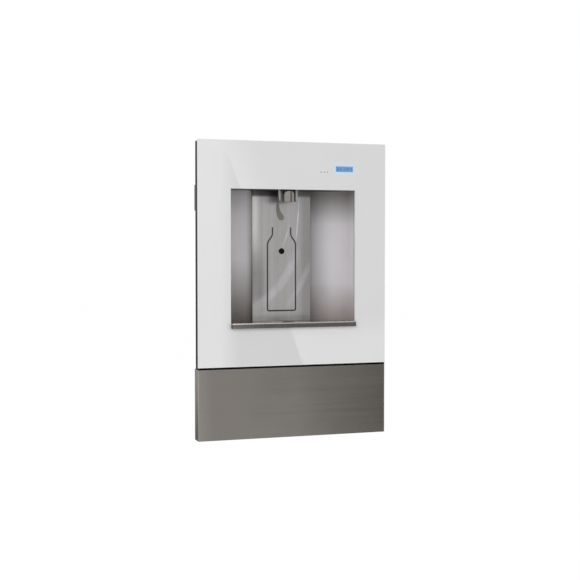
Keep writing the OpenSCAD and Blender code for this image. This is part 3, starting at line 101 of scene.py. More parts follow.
class Sheet:
    """A shader or geometry node tree, with short calls that add nodes and join them."""

    def __init__(self, tree):
        self.tree = tree
        tree.nodes.clear()

    def add(self, kind, feeds=None, **settings):
        """A new node: settings are its properties, feeds its inputs by name or number."""
        node = self.tree.nodes.new(kind)
        for name, value in settings.items():
            setattr(node, name, value)
        for socket, value in (feeds or {}).items():
            self.feed(node.inputs[socket], value)
        return node

    def feed(self, socket, value):
        """Links a socket to another, or sets its value."""
        if isinstance(value, bpy.types.NodeSocket):
            self.tree.links.new(value, socket)
        else:
            socket.default_value = value

    def math(self, operation, *values, clamp=False):
        """The result of a Math node."""
        return self.add("ShaderNodeMath", dict(enumerate(values)), operation=operation,
                        use_clamp=clamp).outputs[0]

    def product(self, *values):
        """Several values multiplied."""
        total = values[0]
        for value in values[1:]:
            total = self.math("MULTIPLY", total, value)
        return total

    def vector_math(self, operation, *values, result="Vector"):
        """What a Vector Math node gives: a vector, or a number where the result is its Value."""
        return self.add("ShaderNodeVectorMath", dict(enumerate(values)), operation=operation).outputs[result]

    def axes(self, vector):
        """The X, Y and Z of a vector."""
        return self.add("ShaderNodeSeparateXYZ", {"Vector": vector}).outputs

    def between(self, value, low, high, to_low=0.0, to_high=1.0):
        """A value carried from one range to another, and held inside it."""
        feeds = {"Value": value, "From Min": low, "From Max": high, "To Min": to_low, "To Max": to_high}
        return self.add("ShaderNodeMapRange", feeds, clamp=True).outputs["Result"]

    def tint(self, mask, low, high, blend="MIX"):
        """A colour between two others by a mask."""
        node = self.add("ShaderNodeMix", data_type="RGBA", blend_type=blend)
        self.feed(node.inputs[0], mask)
        self.feed(node.inputs[6], low)
        self.feed(node.inputs[7], high)
        return node.outputs[2]

    def filtered(self, colour, tone_and_painted_light):
        """A colour times another colour or a value."""
        return self.tint(1.0, colour, tone_and_painted_light, "MULTIPLY")

    def level(self, share, low, high):
        """A value between two others by a share."""
        return self.add("ShaderNodeMix", {0: share, 2: low, 3: high}, data_type="FLOAT").outputs[0]

    def noise(self, place, scale, detail=2.0, roughness=0.5):
        """A noise value from 0 to 1."""
        feeds = {"Vector": place, "Scale": scale, "Detail": detail, "Roughness": roughness}
        return self.add("ShaderNodeTexNoise", feeds).outputs["Fac"]

    def bump(self, height, distance, strength=1.0):
        """A normal from a height."""
        feeds = {"Height": height, "Distance": distance, "Strength": strength}
        return self.add("ShaderNodeBump", feeds).outputs["Normal"]

    def place(self):
        """The point on the piece, in the station's own frame."""
        return self.add("ShaderNodeTexCoord").outputs["Object"]

    def group(self, name, feeds):
        """One of the shared effects, with its own values."""
        node = self.add("ShaderNodeGroup", node_tree=bpy.data.node_groups[name])
        for socket, value in feeds.items():
            self.feed(node.inputs[socket], value)
        return node.outputs


def new_group(name, inputs, outputs, kind_of_tree="ShaderNodeTree"):
    """A node group with named sockets: inputs are (kind, name, value), outputs (kind, name)."""
    tree = bpy.data.node_groups.new(name, kind_of_tree)
    for kind, label, value in inputs:
        socket = tree.interface.new_socket(label, in_out="INPUT", socket_type="NodeSocket" + kind)
        if value is not None:
            socket.default_value = value
    for kind, label in outputs:
        tree.interface.new_socket(label, in_out="OUTPUT", socket_type="NodeSocket" + kind)
    sheet = Sheet(tree)
    return sheet, sheet.add("NodeGroupInput").outputs, sheet.add("NodeGroupOutput").inputs


def build_brushed_grain():
    """Long fine scratches: stretch gives how often they come on each axis, per metre."""
    sheet, given, out = new_group(
        "Brushed Grain",
        [("Vector", "Place", None), ("Vector", "Stretch", (8, 8, 900)), ("Float", "Depth", 0.02 * MM)],
        [("Float", "Streaks"), ("Float", "Bands"), ("Vector", "Normal")])
    fine_place = sheet.vector_math("MULTIPLY", given["Place"], given["Stretch"])
    coarse_place = sheet.vector_math("MULTIPLY", fine_place, (0.4, 0.4, 0.09))
    broad_place = sheet.vector_math("MULTIPLY", fine_place, (0.06, 0.06, 0.03))
    fine = sheet.noise(fine_place, 1.0, 3.0, 0.6)
    coarse = sheet.noise(coarse_place, 1.0, 2.0, 0.5)
    sheet.feed(out["Streaks"], sheet.math("MULTIPLY_ADD", fine, 0.6, sheet.math("MULTIPLY", coarse, 0.4)))
    sheet.feed(out["Bands"], sheet.between(sheet.noise(broad_place, 1.0, 3.0, 0.55), 0.3, 0.7))
    sheet.feed(out["Normal"], sheet.bump(fine, given["Depth"]))


def build_smudges():
    """Soft patches left by wiping, for roughness."""
    sheet, given, out = new_group(
        "Smudges", [("Vector", "Place", None), ("Float", "Often", 30.0)], [("Float", "Mask")])
    bent = sheet.add("ShaderNodeTexNoise", {"Vector": given["Place"], "Scale": 11.0}).outputs["Color"]
    there = sheet.vector_math("MULTIPLY_ADD", bent, (0.05, 0.05, 0.05), given["Place"])
    sheet.feed(out["Mask"], sheet.between(sheet.noise(there, given["Often"], 5.0, 0.62), 0.42, 0.72))


def build_moulded_grain():
    """The fine spark-eroded grain of a moulded plastic."""
    sheet, given, out = new_group(
        "Moulded Grain",
        [("Vector", "Place", None), ("Float", "Often", 1800.0), ("Float", "Depth", 0.03 * MM)],
        [("Float", "Mask"), ("Vector", "Normal")])
    grain = sheet.noise(given["Place"], given["Often"], 3.0, 0.6)
    sheet.feed(out["Mask"], sheet.between(grain, 0.35, 0.65))
    sheet.feed(out["Normal"], sheet.bump(grain, given["Depth"]))


def build_spangle():
    """The crystals of hot-dip zinc."""
    sheet, given, out = new_group(
        "Spangle", [("Vector", "Place", None), ("Float", "Often", 90.0)],
        [("Float", "Shade"), ("Vector", "Normal")])
    bent = sheet.add("ShaderNodeTexNoise", {"Vector": given["Place"], "Scale": 160.0}).outputs["Color"]
    there = sheet.vector_math("MULTIPLY_ADD", bent, (0.006, 0.006, 0.006), given["Place"])
    cells = sheet.add("ShaderNodeTexVoronoi", {"Vector": there, "Scale": given["Often"]})
    apart = sheet.add("ShaderNodeSeparateColor", {"Color": cells.outputs["Color"]})
    frost = sheet.noise(there, 900.0, 2.0, 0.6)
    shade = sheet.math("MULTIPLY_ADD", frost, 0.25, sheet.math("MULTIPLY", apart.outputs["Red"], 0.75))
    sheet.feed(out["Shade"], shade)
    sheet.feed(out["Normal"], sheet.bump(shade, 0.02 * MM, 0.5))


def build_settled_dust():
    """Dust on what faces up."""
    sheet, given, out = new_group(
        "Settled Dust", [("Vector", "Place", None), ("Float", "Amount", 0.5)], [("Float", "Mask")])
    normal = sheet.add("ShaderNodeNewGeometry").outputs["Normal"]
    up = sheet.axes(normal)["Z"]
    patches = sheet.between(sheet.noise(given["Place"], 45.0, 6.0, 0.65), 0.3, 0.75, 0.35, 1.0)
    sheet.feed(out["Mask"], sheet.product(sheet.between(up, 0.6, 1.0), patches, given["Amount"]))


def build_glow():
    """Light that spreads in frosted paint round a lit window on the front."""
    sheet, given, out = new_group(
        "Window Glow",
        [("Vector", "Place", None), ("Vector", "Centre", (0, 0, 0)), ("Vector", "Half", (0.02, 1.0, 0.005)),
         ("Float", "Fade", 0.006)],
        [("Float", "Mask")])
    away = sheet.vector_math("ABSOLUTE", sheet.vector_math("SUBTRACT", given["Place"], given["Centre"]))
    past = sheet.vector_math("MAXIMUM", sheet.vector_math("SUBTRACT", away, given["Half"]), (0, 0, 0))
    length = sheet.vector_math("LENGTH", past, result="Value")
    share = sheet.math("SUBTRACT", 1.0, sheet.math("DIVIDE", length, given["Fade"]), clamp=True)
    sheet.feed(out["Mask"], sheet.math("POWER", share, 2.0))


def build_reflection_arc():
    """One curved band of painted reflection: a band on a circle about a centre, uneven along its length."""
    sheet, given, out = new_group(
        "Wipe Mark",
        [("Vector", "Place", None), ("Vector", "Centre", (0, 0, 0)), ("Float", "Radius", 0.1),
         ("Float", "Width", 0.01), ("Float", "Low", -1.0), ("Float", "High", 1.0)],
        [("Float", "Mask")])
    flat = sheet.vector_math("MULTIPLY", given["Place"], (1, 0, 1))
    reach = sheet.vector_math("DISTANCE", flat, given["Centre"], result="Value")
    off = sheet.math("ABSOLUTE", sheet.math("SUBTRACT", reach, given["Radius"]))
    band = sheet.math("SUBTRACT", 1.0, sheet.math("DIVIDE", off, given["Width"]), clamp=True)
    height = sheet.axes(given["Place"])["Z"]
    soft = 0.035
    start = sheet.between(sheet.math("SUBTRACT", height, given["Low"]), 0.0, soft)
    end = sheet.between(sheet.math("SUBTRACT", given["High"], height), 0.0, soft)
    uneven = sheet.between(sheet.noise(given["Place"], 60.0, 3.0, 0.6), 0.3, 0.7, 0.45, 1.0)
    smooth = sheet.math("MULTIPLY", band, sheet.math("SUBTRACT", 2.0, band))
    sheet.feed(out["Mask"], sheet.product(smooth, start, end, uneven))


def build_edge_wear_and_highlight():
    """Where a sheet's edges are rubbed, and where the steels take a painted highlight: the rounded normal
    turns away from the flat one.
    """
    sheet, given, out = new_group(
        "Edge Wear", [("Vector", "Place", None), ("Float", "Reach", 0.6 * MM)], [("Float", "Mask")])
    flat = sheet.add("ShaderNodeNewGeometry").outputs["Normal"]
    round_normal = sheet.add("ShaderNodeBevel", {"Radius": given["Reach"]}, samples=4).outputs["Normal"]
    same = sheet.vector_math("DOT_PRODUCT", flat, round_normal, result="Value")
    edge_wear_and_highlight = sheet.between(same, 0.98, 0.86)
    sheet.feed(out["Mask"], sheet.math("MULTIPLY", edge_wear_and_highlight, sheet.noise(given["Place"], 220.0, 3.0, 0.7)))


# The frame's own materials have the slots' names, so these end otherwise
FINISH_MARK = "_finish"

SHARED_EFFECTS = (
    build_brushed_grain, build_smudges, build_moulded_grain, build_spangle, build_settled_dust,
    build_glow, build_reflection_arc, build_edge_wear_and_highlight,
)


def shaded(name, values):
    """A material with one Principled shader: its sheet and the shader's inputs."""
    material = bpy.data.materials.new(name + FINISH_MARK)
    material.use_nodes = True
    sheet = Sheet(material.node_tree)
    output = sheet.add("ShaderNodeOutputMaterial")
    shader = sheet.add("ShaderNodeBsdfPrincipled", values)
    sheet.feed(output.inputs["Surface"], shader.outputs["BSDF"])
    material.diffuse_color = values.get("Base Color", (0.5, 0.5, 0.5, 1.0))
    return material, sheet, shader.inputs


def varied(sheet, socket, mask, colour, spread):
    """Feeds a socket a colour that a mask makes a little darker and lighter."""
    sheet.feed(socket, sheet.tint(mask, *shades(colour, spread, spread)))


def along_grain(sheet, shader, level):
    """Points the shader's stretched highlight across the scratches: level ones or upright ones."""
    normal = sheet.add("ShaderNodeNewGeometry").outputs["Normal"]
    across = sheet.vector_math("CROSS_PRODUCT", (0, 0, 1), normal)
    sheet.feed(shader["Tangent"], sheet.vector_math("CROSS_PRODUCT", normal, across) if level else across)


def brushed_metal(name, colour, stretch, rough, spread=0.05, one_way=None, stretched=0.75, edge=0.0,
                  tone_and_painted_light=None):
    """Brushed or satin steel.

    one_way says how its highlight is stretched, edge how bright its edges are made by rubbed wear and a
    painted highlight, and tone_and_painted_light gives its painted light and shade from place to place.
    """
    stretched = stretched if one_way else 0.0
    material, sheet, shader = shaded(name, {
        "Metallic": 1.0, "Base Color": colour_of(colour), "Anisotropic": stretched})
    if one_way:
        along_grain(sheet, shader, one_way == "level")
    here = sheet.place()
    grain = sheet.group("Brushed Grain", {"Place": here, "Stretch": stretch, "Depth": 0.004 * MM})
    wiped = sheet.group("Smudges", {"Place": here, "Often": 14.0})["Mask"]
    steel = sheet.tint(grain["Streaks"], *shades(colour, spread, spread))
    # Painted light and shade from place to place, multiplied into the steel
    if tone_and_painted_light:
        steel = sheet.filtered(steel, tone_and_painted_light(sheet, here))
    # Lighter edges: rubbed wear and a painted highlight
    if edge:
        edge_wear_and_highlight = sheet.group("Edge Wear", {"Place": here, "Reach": 0.7 * MM})["Mask"]
        steel = sheet.tint(edge_wear_and_highlight, steel, (edge, edge * 0.98, edge * 0.96, 1))
    sheet.feed(shader["Base Color"], steel)
    streaky = sheet.between(grain["Streaks"], 0.25, 0.75, rough * 0.85, rough * 1.15)
    sheet.feed(shader["Roughness"], sheet.math("MULTIPLY_ADD", wiped, 0.06, streaky))
    sheet.feed(shader["Normal"], grain["Normal"])
    return material


# Painted highlight along the glass's lower edge: how far above its foot it begins, and where it is brightest
LIT_EDGE_TOP = 2.1 * MM
LIT_EDGE_FOOT = 1.5 * MM


def white_glass():
    """Clear glass over white paint, with the glow round its lit window and a painted highlight along its
    lower edge.
    """
    look = bpy.context.scene.station_glass
    low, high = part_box("display_window")
    material, sheet, shader = shaded("white_glass", {
        "Base Color": colour_of(look.colour), "Roughness": 0.3, "Coat Weight": 1.0,
        "Coat Roughness": 0.01, "Coat IOR": 2.0, "Specular IOR Level": 0.2,
        "Emission Color": colour_of(look.glow), "Emission Strength": 1.0,
    })
    here = sheet.place()
    wiped = sheet.group("Smudges", {"Place": here, "Often": 9.0})["Mask"]
    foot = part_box("glass_panel")[0].z
    edge_highlight = sheet.between(sheet.axes(here)["Z"], foot + LIT_EDGE_TOP, foot + LIT_EDGE_FOOT)
    paint = sheet.tint(wiped, colour_of(dimmed(look.colour, 0.994)), colour_of(look.colour))
    half = (high - low) / 2
    glow = sheet.group("Window Glow", {
        "Place": here, "Centre": (low + high) / 2, "Half": (half.x, 1.0, half.z), "Fade": look.glow_reach,
    })["Mask"]
    paint = sheet.tint(glow, paint, colour_of(look.glow_paint))
    # Painted highlight: the paint turns lighter along the lower edge
    sheet.feed(shader["Base Color"], sheet.tint(edge_highlight, paint, (0.98, 0.98, 0.98, 1)))
    sheet.feed(shader["Emission Color"], sheet.tint(glow, (0, 0, 0, 1), colour_of(look.glow)))
    sheet.feed(shader["Roughness"], sheet.between(wiped, 0.0, 1.0, 0.28, 0.36))
    return material


def ground_glass():
    """The ground bevel and the sides of the glass."""
    look = bpy.context.scene.station_glass
    material, sheet, shader = shaded("ground_glass", {
        "Base Color": colour_of(look.edge_colour), "Roughness": 0.16, "Coat Weight": 0.7,
        "Coat Roughness": 0.05,
    })
    here = sheet.place()
    ground = sheet.group("Moulded Grain", {"Place": here, "Often": 2600.0, "Depth": 0.004 * MM})
    varied(sheet, shader["Base Color"], ground["Mask"], look.edge_colour, 0.03)
    sheet.feed(shader["Normal"], ground["Normal"])
    return material


# Ramps of painted light and shade along a piece: from and to in metres, then the level at each where it isn't
# 0 and 1
UNSHADED = (1, 1, 1, 1)
ACROSS_WALLS = (0.949, -0.314)
WALL_SHADE_RAMPS = {
    "left foot": (-0.070, 0.060), "by the plate": (-0.060, -0.047, 1.0, 0.72),
    "right foot": (-0.070, 0.010), "right top": (0.130, 0.190), "outwards": (0.070, 0.140, 0.62, 1.48),
}
WALL_SHADE_LEVELS = {
    "left foot": (0.33, 0.30, 0.26, 1), "right foot": (0.69, 0.64, 0.61, 1),
    "right top": (0.50, 0.49, 0.46, 1),
}


def painted_wall_shade(sheet, here):
    """Painted shade and light on the curved walls: the left darker at its foot and by the plate, the right
    darker at its foot, its top and by the plate, and lighter in front.
    """
    x, y, z = sheet.axes(here)
    across = sheet.math("MULTIPLY_ADD", y, ACROSS_WALLS[1], sheet.math("MULTIPLY", x, ACROSS_WALLS[0]))
    # Painted shade at the left wall's foot and by the plate
    foot = sheet.tint(sheet.between(z, *WALL_SHADE_RAMPS["left foot"]), WALL_SHADE_LEVELS["left foot"], UNSHADED)
    left = sheet.filtered(foot, sheet.between(across, *WALL_SHADE_RAMPS["by the plate"]))
    # Painted shade at the right wall's foot, top and by the plate, painted light in front
    low = sheet.tint(sheet.between(z, *WALL_SHADE_RAMPS["right foot"]), WALL_SHADE_LEVELS["right foot"], UNSHADED)
    high = sheet.tint(sheet.between(z, *WALL_SHADE_RAMPS["right top"]), UNSHADED, WALL_SHADE_LEVELS["right top"])
    right = sheet.filtered(sheet.filtered(low, high), sheet.between(across, *WALL_SHADE_RAMPS["outwards"]))
    return sheet.tint(sheet.between(x, -MM, MM), left, right)


def alcove_steel():
    """Upright brushing on the alcove's curved walls, with painted shade and light."""
    look = bpy.context.scene.station_steel
    return brushed_metal("alcove_steel", look.alcove_colour, (1100, 1100, 6), 0.62, one_way="upright",
                         stretched=0.4, tone_and_painted_light=painted_wall_shade)


def shaded_steel():
    """The ceiling of the alcove: the same steel, darkened as painted shade over the nozzle."""
    look = bpy.context.scene.station_steel
    return brushed_metal("shaded_steel", dimmed(look.alcove_colour, 0.13), (6, 900, 900), 0.45)


# Painted light and shade on the back plate, along x and z
PLATE_LIGHT_RAMPS = {
    "shadow": (-0.012, 0.020, 0.22, 0.42), "ceiling": (0.183, 0.188),
    "left edge": (-0.056, -0.044, 1.0, 0.0), "upper part": (0.060, 0.120),
    "patch top": (0.090, 0.030), "patch foot": (-0.055, -0.010), "patch side": (-0.026, -0.044),
    "right": (0.034, 0.046, 1.0, 0.82),
}
# How strongly the painted highlight lightens and the painted shadow patch darkens
PLATE_HIGHLIGHT_GAIN = 0.42
PLATE_SHADOW_GAIN = -0.32


def painted_plate_light(sheet, here):
    """Painted light and shade on the plate: painted shade under the ceiling and at its right, a painted
    highlight at its upper left, a painted shadow patch below that.
    """
    axes = sheet.axes(here)
    x, z = axes["X"], axes["Z"]
    # Painted shade under the ceiling, deepest at the left
    shadow = sheet.between(x, *PLATE_LIGHT_RAMPS["shadow"])
    ceiling = sheet.level(sheet.between(z, *PLATE_LIGHT_RAMPS["ceiling"]), 1.0, shadow)
    # Painted highlight near the plate's upper left edge
    upper = sheet.product(
        sheet.between(x, *PLATE_LIGHT_RAMPS["left edge"]), sheet.between(z, *PLATE_LIGHT_RAMPS["upper part"]))
    edge = sheet.math("MULTIPLY_ADD", upper, PLATE_HIGHLIGHT_GAIN, 1.0)
    # Painted shadow patch at the left, lower down
    patch = sheet.product(
        sheet.between(z, *PLATE_LIGHT_RAMPS["patch top"]), sheet.between(z, *PLATE_LIGHT_RAMPS["patch foot"]),
        sheet.between(x, *PLATE_LIGHT_RAMPS["patch side"]))
    dull = sheet.math("MULTIPLY_ADD", patch, PLATE_SHADOW_GAIN, 1.0)
    return sheet.product(ceiling, edge, dull, sheet.between(x, *PLATE_LIGHT_RAMPS["right"]))


def plate_steel():
    """The back plate: finer and brighter than the walls, with curved bands of painted reflection."""
    look = bpy.context.scene.station_steel
    material, sheet, shader = shaded("plate_steel", {
        "Metallic": 1.0, "Base Color": colour_of(look.plate_colour), "Anisotropic": 0.75})
    along_grain(sheet, shader, False)
    here = sheet.place()
    grain = sheet.group("Brushed Grain", {"Place": here, "Stretch": (1300, 1300, 5), "Depth": 0.003 * MM})
    wiped = sheet.group("Smudges", {"Place": here, "Often": 16.0})["Mask"]
    marks = [
        sheet.math("MULTIPLY", strength, sheet.group("Wipe Mark", {
            "Place": here, "Centre": centre, "Radius": radius, "Width": width, "Low": low, "High": high,
        })["Mask"])
        for centre, radius, width, low, high, strength in PAINTED_REFLECTION_ARCS
    ]
    painted_reflections = marks[0]
    for mark in marks[1:]:
        painted_reflections = sheet.math("MAXIMUM", painted_reflections, mark)
    darker = colour_of(dimmed(look.plate_colour, 0.9))
    steel = sheet.tint(grain["Streaks"], darker, colour_of(look.plate_colour))
    patchy = sheet.tint(grain["Bands"], (0.86, 0.85, 0.81, 1), (0.99, 0.99, 1, 1))
    # Painted light and shade multiplied into the plate's steel
    steel = sheet.filtered(sheet.filtered(steel, patchy), painted_plate_light(sheet, here))
    # Painted reflection: the curved bands lighten the steel
    sheet.feed(shader["Base Color"], sheet.tint(painted_reflections, steel, (0.93, 0.92, 1.0, 1)))
    streaky = sheet.between(grain["Streaks"], 0.25, 0.75, 0.24, 0.34)
    rough = sheet.math("MULTIPLY_ADD", wiped, 0.05, streaky)
    sheet.feed(shader["Roughness"], sheet.math("MULTIPLY_ADD", painted_reflections, 0.1, rough))
    sheet.feed(shader["Normal"], grain["Normal"])
    return material


# Curved bands of painted reflection on the back plate: centre, radius, width, lowest and highest point in
# metres, and strength
PAINTED_REFLECTION_ARCS = (
    ((-0.750, 0.0, 0.199), 0.787, 0.0016, 0.085, 0.186, 0.95),
    ((-0.275, 0.0, 0.199), 0.300, 0.0024, 0.070, 0.136, 0.60),
    ((-0.142, 0.0, 0.120), 0.179, 0.0110, -0.050, 0.085, 0.32),
    ((-0.313, 0.0, 0.195), 0.400, 0.0080, -0.045, 0.062, 0.26),
)


PANEL_LIGHT_RAMPS = {
    "rising": (-0.150, 0.000, 0.88, 1.18), "falling": (0.000, 0.185, 1.0, 0.64),
    "left end": (-0.192, -0.165, 1.16, 1.0), "left side": (-0.1924, -0.1928), "side's foot": (-0.275, -0.200),
}
# How much the painted highlight lightens the panel's left side
PANEL_SIDE_HIGHLIGHT_GAIN = 1.3


def painted_panel_light(sheet, here):
    """Painted light and shade on the panel: lighter in the middle and at the left end, darker at the right,
    with a painted highlight on its left side.
    """
    axes = sheet.axes(here)
    x, z = axes["X"], axes["Z"]
    # Painted highlight on the panel's left side, stronger higher up
    side = sheet.product(
        sheet.between(x, *PANEL_LIGHT_RAMPS["left side"]), sheet.between(z, *PANEL_LIGHT_RAMPS["side's foot"]))
    # Painted light and shade: lighter in the middle and at the left end, darker at the right
    lengthwise = [sheet.between(x, *PANEL_LIGHT_RAMPS[name]) for name in ("rising", "falling", "left end")]
    return sheet.product(*lengthwise, sheet.math("MULTIPLY_ADD", side, PANEL_SIDE_HIGHLIGHT_GAIN, 1.0))


def panel_steel():
    """Level brushing on the access panel, with painted light and shade, and edges lightened by wear and a
    painted highlight.
    """
    look = bpy.context.scene.station_steel
    return brushed_metal("panel_steel", look.panel_colour, (5, 5, 1300), 0.3, spread=0.09, one_way="level",
                         edge=0.62, tone_and_painted_light=painted_panel_light)


LIP_LIGHT_RAMPS = {
    "top": (-0.0658, -0.0653, 1.0, 4.8), "left": (-0.125, -0.050, 1.25, 1.0),
    "corners": (0.1255, 0.1268, 1.0, 0.4),
}


def painted_lip_light(sheet, here):
    """Painted light and shade on the tray: a painted highlight along the lip's top edge, a lighter left end
    and painted shade at its corners.
    """
    axes = sheet.axes(here)
    x, z = axes["X"], axes["Z"]
    # Painted highlight along the top edge and at the left end, painted shade at the corners
    return sheet.product(
        sheet.between(z, *LIP_LIGHT_RAMPS["top"]), sheet.between(x, *LIP_LIGHT_RAMPS["left"]),
        sheet.between(sheet.math("ABSOLUTE", x), *LIP_LIGHT_RAMPS["corners"]))


def tray_steel():
    """Satin steel of the drip tray, with painted light and shade, and edges lightened by wear and a painted
    highlight.
    """
    look = bpy.context.scene.station_steel
    return brushed_metal("tray_steel", look.tray_colour, (7, 900, 900), 0.24, one_way="level", edge=0.85,
                         tone_and_painted_light=painted_lip_light)


def zinc_steel():
    """Plated steel of screws and small parts."""
    look = bpy.context.scene.station_box
    return brushed_metal("zinc_steel", look.plated_colour, (500, 500, 500), 0.3, spread=0.12)


def galvanised():
    """Hot-dip zinc sheet with spangle, dust and rubbed edges."""
    look = bpy.context.scene.station_box
    material, sheet, shader = shaded("galvanised", {
        "Metallic": 0.85, "Base Color": colour_of(look.zinc_colour)})
    here = sheet.place()
    spangle = sheet.group("Spangle", {"Place": here, "Often": 115.0})
    dust = sheet.group("Settled Dust", {"Place": here, "Amount": 0.6})["Mask"]
    edge_wear_and_highlight = sheet.group("Edge Wear", {"Place": here, "Reach": 0.7 * MM})["Mask"]
    darker = colour_of(dimmed(look.zinc_colour, 0.68))
    zinc = sheet.tint(spangle["Shade"], darker, colour_of(look.zinc_colour))
    rubbed = sheet.tint(edge_wear_and_highlight, zinc, (0.75, 0.76, 0.77, 1))
    sheet.feed(shader["Base Color"], sheet.tint(dust, rubbed, colour_of(look.dust_colour)))
    rough = sheet.between(spangle["Shade"], 0.0, 1.0, 0.34, 0.52)
    sheet.feed(shader["Roughness"], sheet.math("MULTIPLY_ADD", dust, 0.4, rough, clamp=True))
    sheet.feed(shader["Metallic"], sheet.math("SUBTRACT", 0.88, dust, clamp=True))
    sheet.feed(shader["Normal"], spangle["Normal"])
    return material


def plastic(name, colour, rough, grain_depth, dust=0.0, coat=0.0, often=1800.0, specular=0.5):
    """A moulded plastic with its grain."""
    material, sheet, shader = shaded(name, {
        "Base Color": colour_of(colour), "Coat Weight": coat, "Coat Roughness": 0.12,
        "Specular IOR Level": specular,
    })
    here = sheet.place()
    grain = sheet.group("Moulded Grain", {"Place": here, "Often": often, "Depth": grain_depth})
    wiped = sheet.group("Smudges", {"Place": here, "Often": 26.0})["Mask"]
    lying = sheet.group("Settled Dust", {"Place": here, "Amount": dust})["Mask"]
    plain = sheet.tint(wiped, *shades(colour, 0.07, 0.05))
    sheet.feed(shader["Base Color"], sheet.tint(lying, plain, (0.42, 0.40, 0.37, 1)))
    even = sheet.between(grain["Mask"], 0.0, 1.0, rough * 0.9, rough * 1.1)
    sheet.feed(shader["Roughness"], sheet.math("MULTIPLY_ADD", wiped, 0.06, even))
    sheet.feed(shader["Normal"], grain["Normal"])
    return material


def black_plastic():
    """The frame, the cover and the basin."""
    look = bpy.context.scene.station_plastic
    return plastic("black_plastic", look.black, 0.55, 0.03 * MM, dust=0.2, specular=0.16)


def white_plastic():
    """Fittings."""
    look = bpy.context.scene.station_plastic
    return plastic("white_plastic", look.white, 0.34, 0.012 * MM, dust=0.15)


def filter_white():
    """The glossy shell of the cartridge."""
    look = bpy.context.scene.station_plastic
    return plastic("filter_white", look.white, 0.24, 0.006 * MM, dust=0.1, coat=0.4)


def blue_plastic():
    """What a hand moves: the lever, the button and the cartridge's grip."""
    look = bpy.context.scene.station_plastic
    return plastic("blue_plastic", look.blue, 0.33, 0.01 * MM, coat=0.2)


def rubber():
    """Gaskets, hose and cable sheaths."""
    look = bpy.context.scene.station_plastic
    return plastic("rubber", look.rubber, 0.62, 0.02 * MM, dust=0.2, often=2600.0)


def sensor_black():
    """The infrared window and the dark cup behind the nozzle."""
    return plastic("sensor_black", (0.002, 0.002, 0.003), 0.2, 0.002 * MM, specular=0.12)


def chrome():
    """Polished plating, with faint water marks."""
    look = bpy.context.scene.station_steel
    material, sheet, shader = shaded("chrome", {"Metallic": 1.0, "Base Color": colour_of(look.chrome_colour)})
    here = sheet.place()
    wiped = sheet.group("Smudges", {"Place": here, "Often": 70.0})["Mask"]
    varied(sheet, shader["Base Color"], wiped, look.chrome_colour, 0.03)
    sheet.feed(shader["Roughness"], sheet.between(wiped, 0.0, 1.0, 0.05, 0.12))
    return material


def spring_steel():
    """Drawn wire."""
    return brushed_metal("spring_steel", (0.5, 0.5, 0.52), (900, 900, 900), 0.22)


def brass():
    """Machined brass that has begun to dull."""
    look = bpy.context.scene.station_box
    material, sheet, shader = shaded("brass", {"Metallic": 1.0, "Base Color": colour_of(look.brass_colour)})
    here = sheet.place()
    turned = sheet.group("Brushed Grain", {"Place": here, "Stretch": (40, 40, 2400), "Depth": 0.006 * MM})
    dull = sheet.group("Smudges", {"Place": here, "Often": 55.0})["Mask"]
    darker = colour_of(dimmed(look.brass_colour, 0.62))
    sheet.feed(shader["Base Color"], sheet.tint(dull, colour_of(look.brass_colour), darker))
    sheet.feed(shader["Roughness"], sheet.between(dull, 0.0, 1.0, 0.24, 0.46))
    sheet.feed(shader["Normal"], turned["Normal"])
    return material


def tubing():
    """Milky polyethylene."""
    look = bpy.context.scene.station_plastic
    material, sheet, shader = shaded("tubing", {
        "Base Color": colour_of(look.tube), "Roughness": 0.3, "Subsurface Weight": 0.35,
        "Subsurface Radius": (0.004, 0.004, 0.005), "Subsurface Scale": 1.0,
    })
    cloudy = sheet.group("Smudges", {"Place": sheet.place(), "Often": 120.0})["Mask"]
    varied(sheet, shader["Base Color"], cloudy, look.tube, 0.05)
    sheet.feed(shader["Roughness"], sheet.between(cloudy, 0.0, 1.0, 0.26, 0.36))
    return material


def enamel():
    """The dark filling of the groove."""
    return plastic("enamel", (0.046, 0.040, 0.037), 0.5, 0.02 * MM)


def drop_mark():
    """The dark drop under the nozzle: an etched drop, and the nozzle's painted reflection."""
    return brushed_metal("drop_mark", (0.29, 0.272, 0.245), (900, 900, 900), 0.5)


def lit_window():
    """The display's window, lit from behind a little unevenly."""
    look = bpy.context.scene.station_glass
    material, sheet, shader = shaded("display", {
        "Base Color": colour_of(look.display), "Roughness": 0.2, "Coat Weight": 1.0, "Coat Roughness": 0.02,
        "Emission Color": colour_of(look.display), "Emission Strength": look.display_light,
    })
    here = sheet.place()
    cloudy = sheet.noise(here, 130.0, 2.0, 0.5)
    darker = colour_of(dimmed(look.display, 0.72))
    lamp = sheet.tint(sheet.between(cloudy, 0.3, 0.7), darker, colour_of(look.display))
    sheet.feed(shader["Emission Color"], lamp)
    varied(sheet, shader["Base Color"], cloudy, look.display, 0.1)
    return material


def digit_ink():
    """The dark parts of the display."""
    look = bpy.context.scene.station_glass
    return plastic("display_digits", look.digits, 0.3, 0.001 * MM, coat=0.8)


def indicator():
    """Smoky windows of the status lights and their pipes."""
    return plastic("indicator", (0.03, 0.034, 0.04), 0.25, 0.002 * MM, coat=0.2)


def circuit_board():
    """Solder mask with tracks under it."""
    material, sheet, shader = shaded("circuit_board", {
        "Base Color": (0.01, 0.09, 0.04, 1), "Roughness": 0.35, "Coat Weight": 0.3,
    })
    here = sheet.place()
    grid = sheet.add("ShaderNodeTexVoronoi", {"Vector": here, "Scale": 260.0}, distance="CHEBYCHEV")
    track = sheet.between(grid.outputs["Distance"], 0.28, 0.34)
    sheet.feed(shader["Base Color"], sheet.tint(track, (0.012, 0.12, 0.055, 1), (0.006, 0.06, 0.03, 1)))
    sheet.feed(shader["Normal"], sheet.bump(track, 0.02 * MM, 0.4))
    return material


